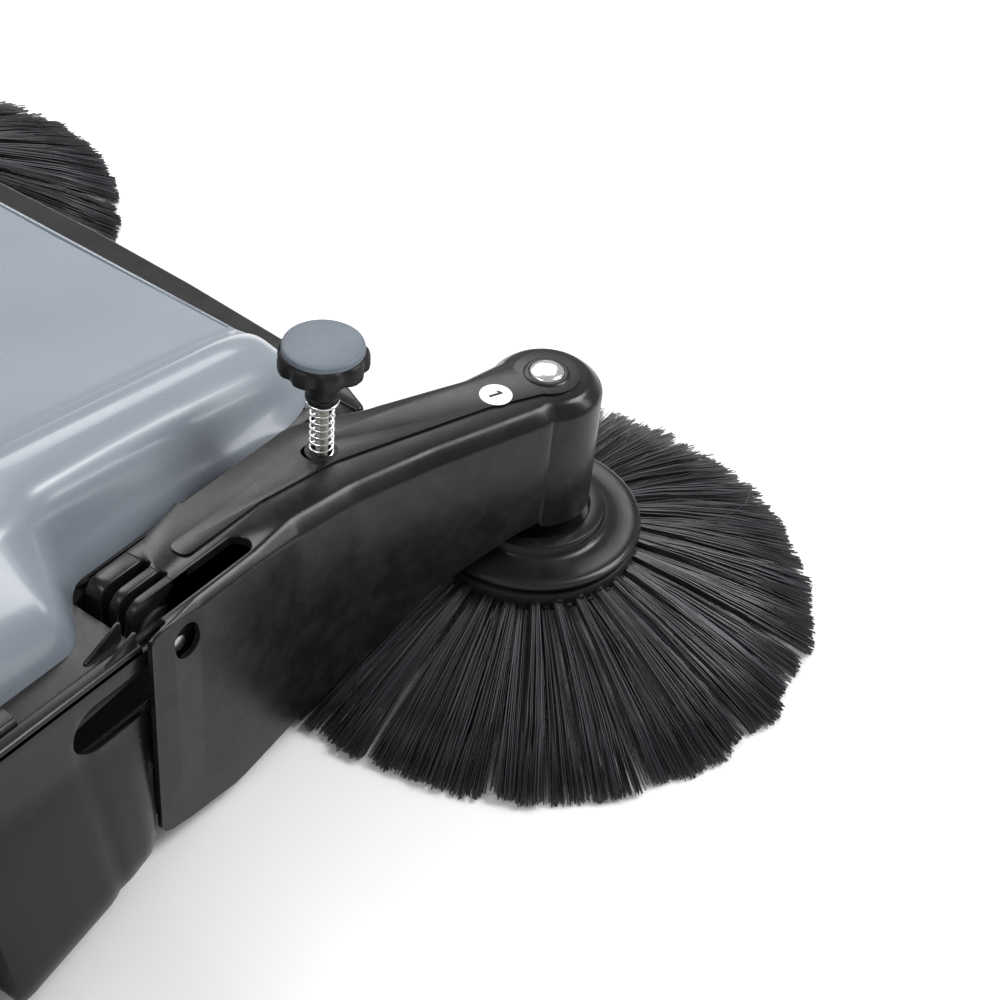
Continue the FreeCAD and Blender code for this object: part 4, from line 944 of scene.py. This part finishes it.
def cover_row(y):
    """Cross-section of the cover at one distance back: valley panel between rounded shoulders."""
    crown = between([(COVER_FRONT, 178), (COVER_REAR, 238)], y)
    nose = min(1.0, max(0.0, (y - COVER_FRONT) / NOSE))
    nose = math.sqrt(1 - (1 - nose) ** 2)
    flared = eased((y - COVER_BAY) / (COVER_FLARE - COVER_BAY))
    half = 232 + 3 * min(1, (y - COVER_FRONT) / 220) + 36.7 * flared
    half -= 26 * (1 - nose)
    rise = 21.8 * nose
    outer_top = -212.0 - 12 * eased((y - 200) / 200)
    side = 165 + (crown - 165) * 0.50
    corners = [(-half, COVER_FOOT), (-half + 9 * nose + 1, side),
               (outer_top + 14 * (1 - nose), crown + rise * 0.45 - 2 * (1 - nose)),
               (-181 + 6 * (1 - nose), crown + rise), (-154, crown + 0.6), (0, crown - 0.4)]
    right = round_corners(corners, [0, 60, 34, 26, 26, 0], 9, closed=False)
    left = [(-x, z) for x, z in reversed(right[:-1])]
    return right + left


def cover():
    stations = [COVER_FRONT + NOSE * (1 - math.cos(math.pi / 2 * k / 14)) for k in range(15)]
    stations += [150 + 5 * k for k in range(73)] + [514, 519, COVER_REAR]
    rows = [cover_row(y) for y in stations]
    points = [(x, y, z) for y, row in zip(stations, rows) for x, z in row]
    wide = len(rows[0])
    faces = [[i * wide + k, i * wide + k + 1, (i + 1) * wide + k + 1, (i + 1) * wide + k]
             for i in range(len(rows) - 1) for k in range(wide - 1)]
    for end, row, y in ((0, rows[0], stations[0]), (len(rows) - 1, rows[-1], stations[-1])):
        base = len(points)
        points += [(x * 0.985, y, COVER_FOOT) for x, z in row]
        for k in range(wide - 1):
            quad = [end * wide + k, end * wide + k + 1, base + k + 1, base + k]
            faces.append(quad if end else quad[::-1])
    mesh = raw_mesh("cover_skin", points, faces)
    tidy_normals(mesh, weld=2e-5)
    thing = linked("cover_skin", mesh)
    middle = max(mesh.polygons, key=lambda f: f.center.z)
    if middle.normal.z < 0:
        mesh.flip_normals()
    thicken(thing, 2.6)
    bevel(thing, 1.2, 3, 50)
    smooth(thing.data, 30)
    body = released(thing)
    lip = swept_tube("lip", [(x, COVER_FRONT + 1.6, 178.2) for x in (-150, -75, 0, 75, 150)], 1.5, 12)
    whole = join_meshes("top_cover", [body, lip])
    new_object("top_cover_look", whole, "chassis", COVER, ["top_cover"])


# ---- sides of the chassis -----------------------------------------------------------------

PANEL_FRONT, PANEL_REAR = 262, 716


def flare(y):
    """How far the lower side panel stands out at one distance back."""
    if y > 455.5:
        return 0.0
    return between([(262, 0), (321, 0.2), (328, 9), (340, 15.5), (380, 24), (447, 34), (455.5, 34)], y)


def panel_point(y, t):
    """A point of the side panel's outer face: t is 0 at the lower edge and 1 at the top."""
    low = between([(262, 90), (284, 26), (300, 25), (716, 25)], y)
    z = low + (162 - low) * t
    crease = between([(262, 104), (319, 105), (375, 112), (430, 118), (455, 119)], y)
    out = flare(y)
    drop = min(1.0, max(0.0, (crease - z) / max(20.0, crease - 34)))
    share = drop ** 0.82 if drop > 0 else 0.0
    fold = 1.4 * math.exp(-((y - 368) / 5.0) ** 2) * (1 if z < crease + 20 else 0)
    return (-297 - out * share + (fold if out > 0 else 0), y, z)


def side_panels():
    rows = [PANEL_FRONT + k * 4.85 for k in range(40)] + [453.5, 455.2, 455.7, 458]
    rows += [470 + 12 * k for k in range(21)] + [PANEL_REAR]
    rows = sorted(set(round(y, 2) for y in rows if y <= PANEL_REAR))
    steps = [k / 26 for k in range(27)]
    points = [panel_point(y, t) for y in rows for t in steps]
    wide = len(steps)
    faces = [[i * wide + k, i * wide + k + 1, (i + 1) * wide + k + 1, (i + 1) * wide + k]
             for i in range(len(rows) - 1) for k in range(wide - 1)]
    mesh = raw_mesh("panel_skin", points, faces)
    if mesh.polygons[10].normal.x > 0:
        mesh.flip_normals()
    thing = linked("panel_skin", mesh)
    thicken(thing, 3.4)
    cut(thing, prism("slot", obround(326, 134, 358, 134, 17, 14), -340, -280, "x"),
        prism("sleeve", [(600 + 18 * math.cos(2 * math.pi * k / 48),
                          125 + 18 * math.sin(2 * math.pi * k / 48)) for k in range(48)], -340, -280, "x"))
    bevel(thing, 0.9, 2, 50)
    smooth(thing.data, 28)
    body = released(thing)
    both_sides(body, "side_panel", "chassis", BLACK, ["side_panel_{side}"])


def deck_details():
    """Rim, ledge and gussets moulded on the deck along both sides."""
    parts = []
    rim = prism("rim", round_corners([(-297, 161), (-297, 167), (-289, 168.5), (-287, 164), (-287, 161)],
                                     [0, 2.5, 2.5, 1, 0], 4), 322, PANEL_REAR, "y")
    ledge = prism("ledge", round_corners([(-289, 162), (-289, 171), (-277, 172.5), (-273, 163), (-273, 162)],
                                         [0, 3, 4, 2, 0], 4), 402, PANEL_REAR, "y")
    for thing in (rim, ledge):
        bevel(thing, 0.8, 2, 50)
        smooth(thing.data)
        parts.append(released(thing))
    for x in (-282.5, -294):
        gusset = prism("gusset", [(324, 164.5), (324, 177), (326, 177), (350, 166), (350, 164.5)],
                       x - 1.2, x + 1.2, "x")
        bevel(gusset, 0.4, 2, 40)
        smooth(gusset.data)
        parts.append(released(gusset))
    both_sides(join_meshes("deck_trim", parts), "deck_trim", "chassis", BLACK)


# ---- wheels -------------------------------------------------------------------------------

WHEEL = (-324.0, 600.0, 125.0)
LUGS, RIBS = 60, 8


def round_wheel(thing, angle, sign=1):
    """The mesh of a block drawn flat, stood on its end and turned to its place round the axle."""
    mesh = released(thing)
    mesh.transform(Matrix.Translation(-place(0, 0, 0)))
    mesh.transform(Matrix(((0, 0, sign, 0), (1, 0, 0, 0), (0, 1, 0, 0), (0, 0, 0, 1))))
    mesh.transform(Matrix.Rotation(angle, 4, "X"))
    mesh.transform(Matrix.Translation(place(*WHEEL)))
    tidy_normals(mesh)
    return mesh


def wheel_looks():
    tyre = lathe("tyre_body", [(101, -18.2), (104, -19), (112, -19), (117, -18.6), (121.5, -16.5),
                               (123.6, -13),
                               (124.0, -4.2), (122.4, -3.6), (122.4, -2.4), (124.2, -1.8), (124.2, 1.8),
                               (122.4, 2.4), (122.4, 3.6), (124.0, 4.2), (123.6, 13), (121.5, 16.5),
                               (117, 18.6), (112, 19), (104, 19), (101, 18.2)], WHEEL, "x", 144)
    smooth(tyre, 30)
    lugs = []
    for k in range(LUGS):
        for sign in (-1, 1):
            angle = 2 * math.pi * (k + 0.25 * sign) / LUGS
            lug = prism("lug", [(-3.4, 121.5), (3.4, 121.5), (3.0, 124.6), (-3.0, 124.6)], 5, 16.5)
            lugs.append(round_wheel(lug, angle, sign))
    whole = join_meshes("tyre", [tyre] + lugs)
    both_sides(whole, "tyre", "wheel_{side}", TYRE, ["tyre_{side}"])
    rim = lathe("hub_rim", [(101, -18), (100.4, -18.8), (95, -18.8), (93.5, -17.6), (91, -8), (88, -5),
                            (40, -5), (26, -8), (24, -22), (22.5, -23), (8, -23), (7.2, -22.2),
                            (7.2, 18), (13, 18.8), (22, 18.8), (24, 8), (40, 5), (88, 5), (91, 8),
                            (93.5, 17.6), (95, 18.8), (100.4, 18.8), (101, 18)], WHEEL, "x", 120)
    smooth(rim, 30)
    ribs = []
    for k in range(RIBS):
        rib = prism("rib", [(-2.0, 24), (2.0, 24), (1.8, 93), (-1.8, 93)], -16, -4)
        bevel(rib, 0.7, 2, 40)
        mesh = round_wheel(rib, 2 * math.pi * k / RIBS)
        smooth(mesh)
        ribs.append(mesh)
    sleeve = lathe("sleeve", [(7.2, 17), (14, 17), (14, 64.4), (7.2, 64.4)], WHEEL, "x", 64)
    smooth(sleeve)
    both_sides(join_meshes("wheel_hub", [rim, sleeve] + ribs), "wheel_hub", "wheel_{side}", HUB,
               ["wheel_hub_{side}"])


# ---- remaining pieces from the frame ------------------------------------------------------

MATERIAL_OF = {
    "front_beam": (BLACK, 2.2), "chassis_deck": (BLACK, 0.9), "arm_hinge_pins": (STEEL, 0.5),
    "stub_axles": (STEEL, 0.6), "wheel_belt": (BELT, 0.3), "roller_belt": (BELT, 0.3),
    "roller_bearings": (STEEL, 0.5), "handle_brackets": (BLACK, 0.8), "drive_gear": (DRIVE, 0.25),
    "drive_pulley": (DRIVE, 0.4), "pinion_pulley": (DRIVE, 0.25), "roller_core": (DRIVE, 0.8),
    "roller_bristles": (BRISTLE, 0.4), "roller_shaft": (STEEL, 0.5), "roller_pulley": (DRIVE, 0.4),
    "hinge_pulley": (DRIVE, 0.4), "arm_belt": (BELT, 0.2), "spring_washer": (BLACK_ROUGH, 0.3),
    "brush_spindle": (STEEL, 0.4), "clamp_knob": (BLACK_ROUGH, 1.0), "caster_fork": (ZINC, 0.4),
    "caster_axle": (STEEL, 0.4), "caster_wheel": (HUB, 1.0), "handle_bar": (PAINT, 0.2),
    "handle_grips": (GRIP, 1.0), "dust_bin": (BLACK_ROUGH, 1.2), "bin_handle": (PAINT, 0.6),
}


def remaining():
    """Every CAD node no other piece stands for, its edges softened and given its finish."""
    bodies = frame["record"]["behaviour"]["bodies"]
    for body, nodes in bodies.items():
        for node in nodes:
            if node in DONE:
                continue
            kind = node.removesuffix("_right").removesuffix("_left")
            material, width = MATERIAL_OF[kind]
            bevelled_copy(node, body, material, width)


DONE = set()
for kind in ("side_brush_bristles", "bristle_ring", "brush_flange", "arm_housing", "head_cap",
             "adjuster_knob", "knob_disc", "adjuster_rod", "adjuster_spring", "spring_seat",
             "side_panel", "tyre", "wheel_hub"):
    DONE |= {kind + "_right", kind + "_left"}
DONE.add("top_cover")

side_brushes()
arms()
adjusters()
cover()
side_panels()
deck_details()
wheel_looks()
remaining()


# ---- stage, light and camera --------------------------------------------------------------

def stage():
    bpy.ops.mesh.primitive_plane_add(size=40, location=(0, 0, 0))
    floor = bpy.context.active_object
    floor.name = "floor"
    m = Nodes("floor")
    base = m.mix(m.spread(m.noise(0.7, 2.0), 0.3, 0.7, 0.0, 1.0), (0.93, 0.93, 0.93), (0.96, 0.96, 0.96))
    m.set(colour=base, rough=0.6, specular=0.2)
    floor.data.materials.append(m.material)
    world = bpy.data.worlds.new("studio")
    bpy.context.scene.world = world
    world.use_nodes = True
    background = world.node_tree.nodes["Background"]
    background.inputs["Color"].default_value = (1.0, 1.0, 1.0, 1.0)
    background.inputs["Strength"].default_value = 0.42
    bpy.context.scene.view_settings.view_transform = "Standard"


def area(name, location, target, size, power):
    light = bpy.data.lights.new(name, "AREA")
    light.shape = "RECTANGLE"
    light.size, light.size_y = size
    light.energy = power
    thing = linked(name, light)
    thing.location = location
    thing.rotation_euler = (Vector(target) - Vector(location)).to_track_quat("-Z", "Y").to_euler()


def camera():
    azimuth, pitch, roll = (math.radians(a) for a in (33.0, 41.0, 5.6))
    ahead = Vector((math.sin(azimuth) * math.cos(pitch), -math.cos(azimuth) * math.cos(pitch),
                    -math.sin(pitch)))
    right = ahead.cross(Vector((0, 0, 1))).normalized()
    up = right.cross(ahead)
    right, up = (right * math.cos(roll) + up * math.sin(roll),
                 up * math.cos(roll) - right * math.sin(roll))
    lens = bpy.data.cameras.new("camera")
    lens.sensor_width = 36
    lens.lens = 71.96
    lens.clip_end = 50
    thing = linked("camera", lens)
    matrix = Matrix((right, up, -ahead)).transposed().to_4x4()
    matrix.translation = Vector((-0.8455, 0.3622, 0.928))
    thing.matrix_world = matrix
    bpy.context.scene.camera = thing


stage()
area("key", (-1.6, -2.2, 2.8), (-0.3, -0.4, 0.1), (1.4, 1.4), 78)
area("fill", (1.8, -1.2, 2.4), (-0.2, -0.3, 0.1), (1.4, 1.4), 42)
area("back", (0.4, 2.2, 2.8), (-0.2, -0.2, 0.1), (2.0, 0.8), 40)
area("side", (-2.3, -2.2, 1.7), (-0.4, -0.4, 0.1), (0.5, 1.4), 14)
area("top", (1.05, -2.36, 2.04), (-0.33, -0.47, 0.18), (1.1, 1.1), 16)
camera()
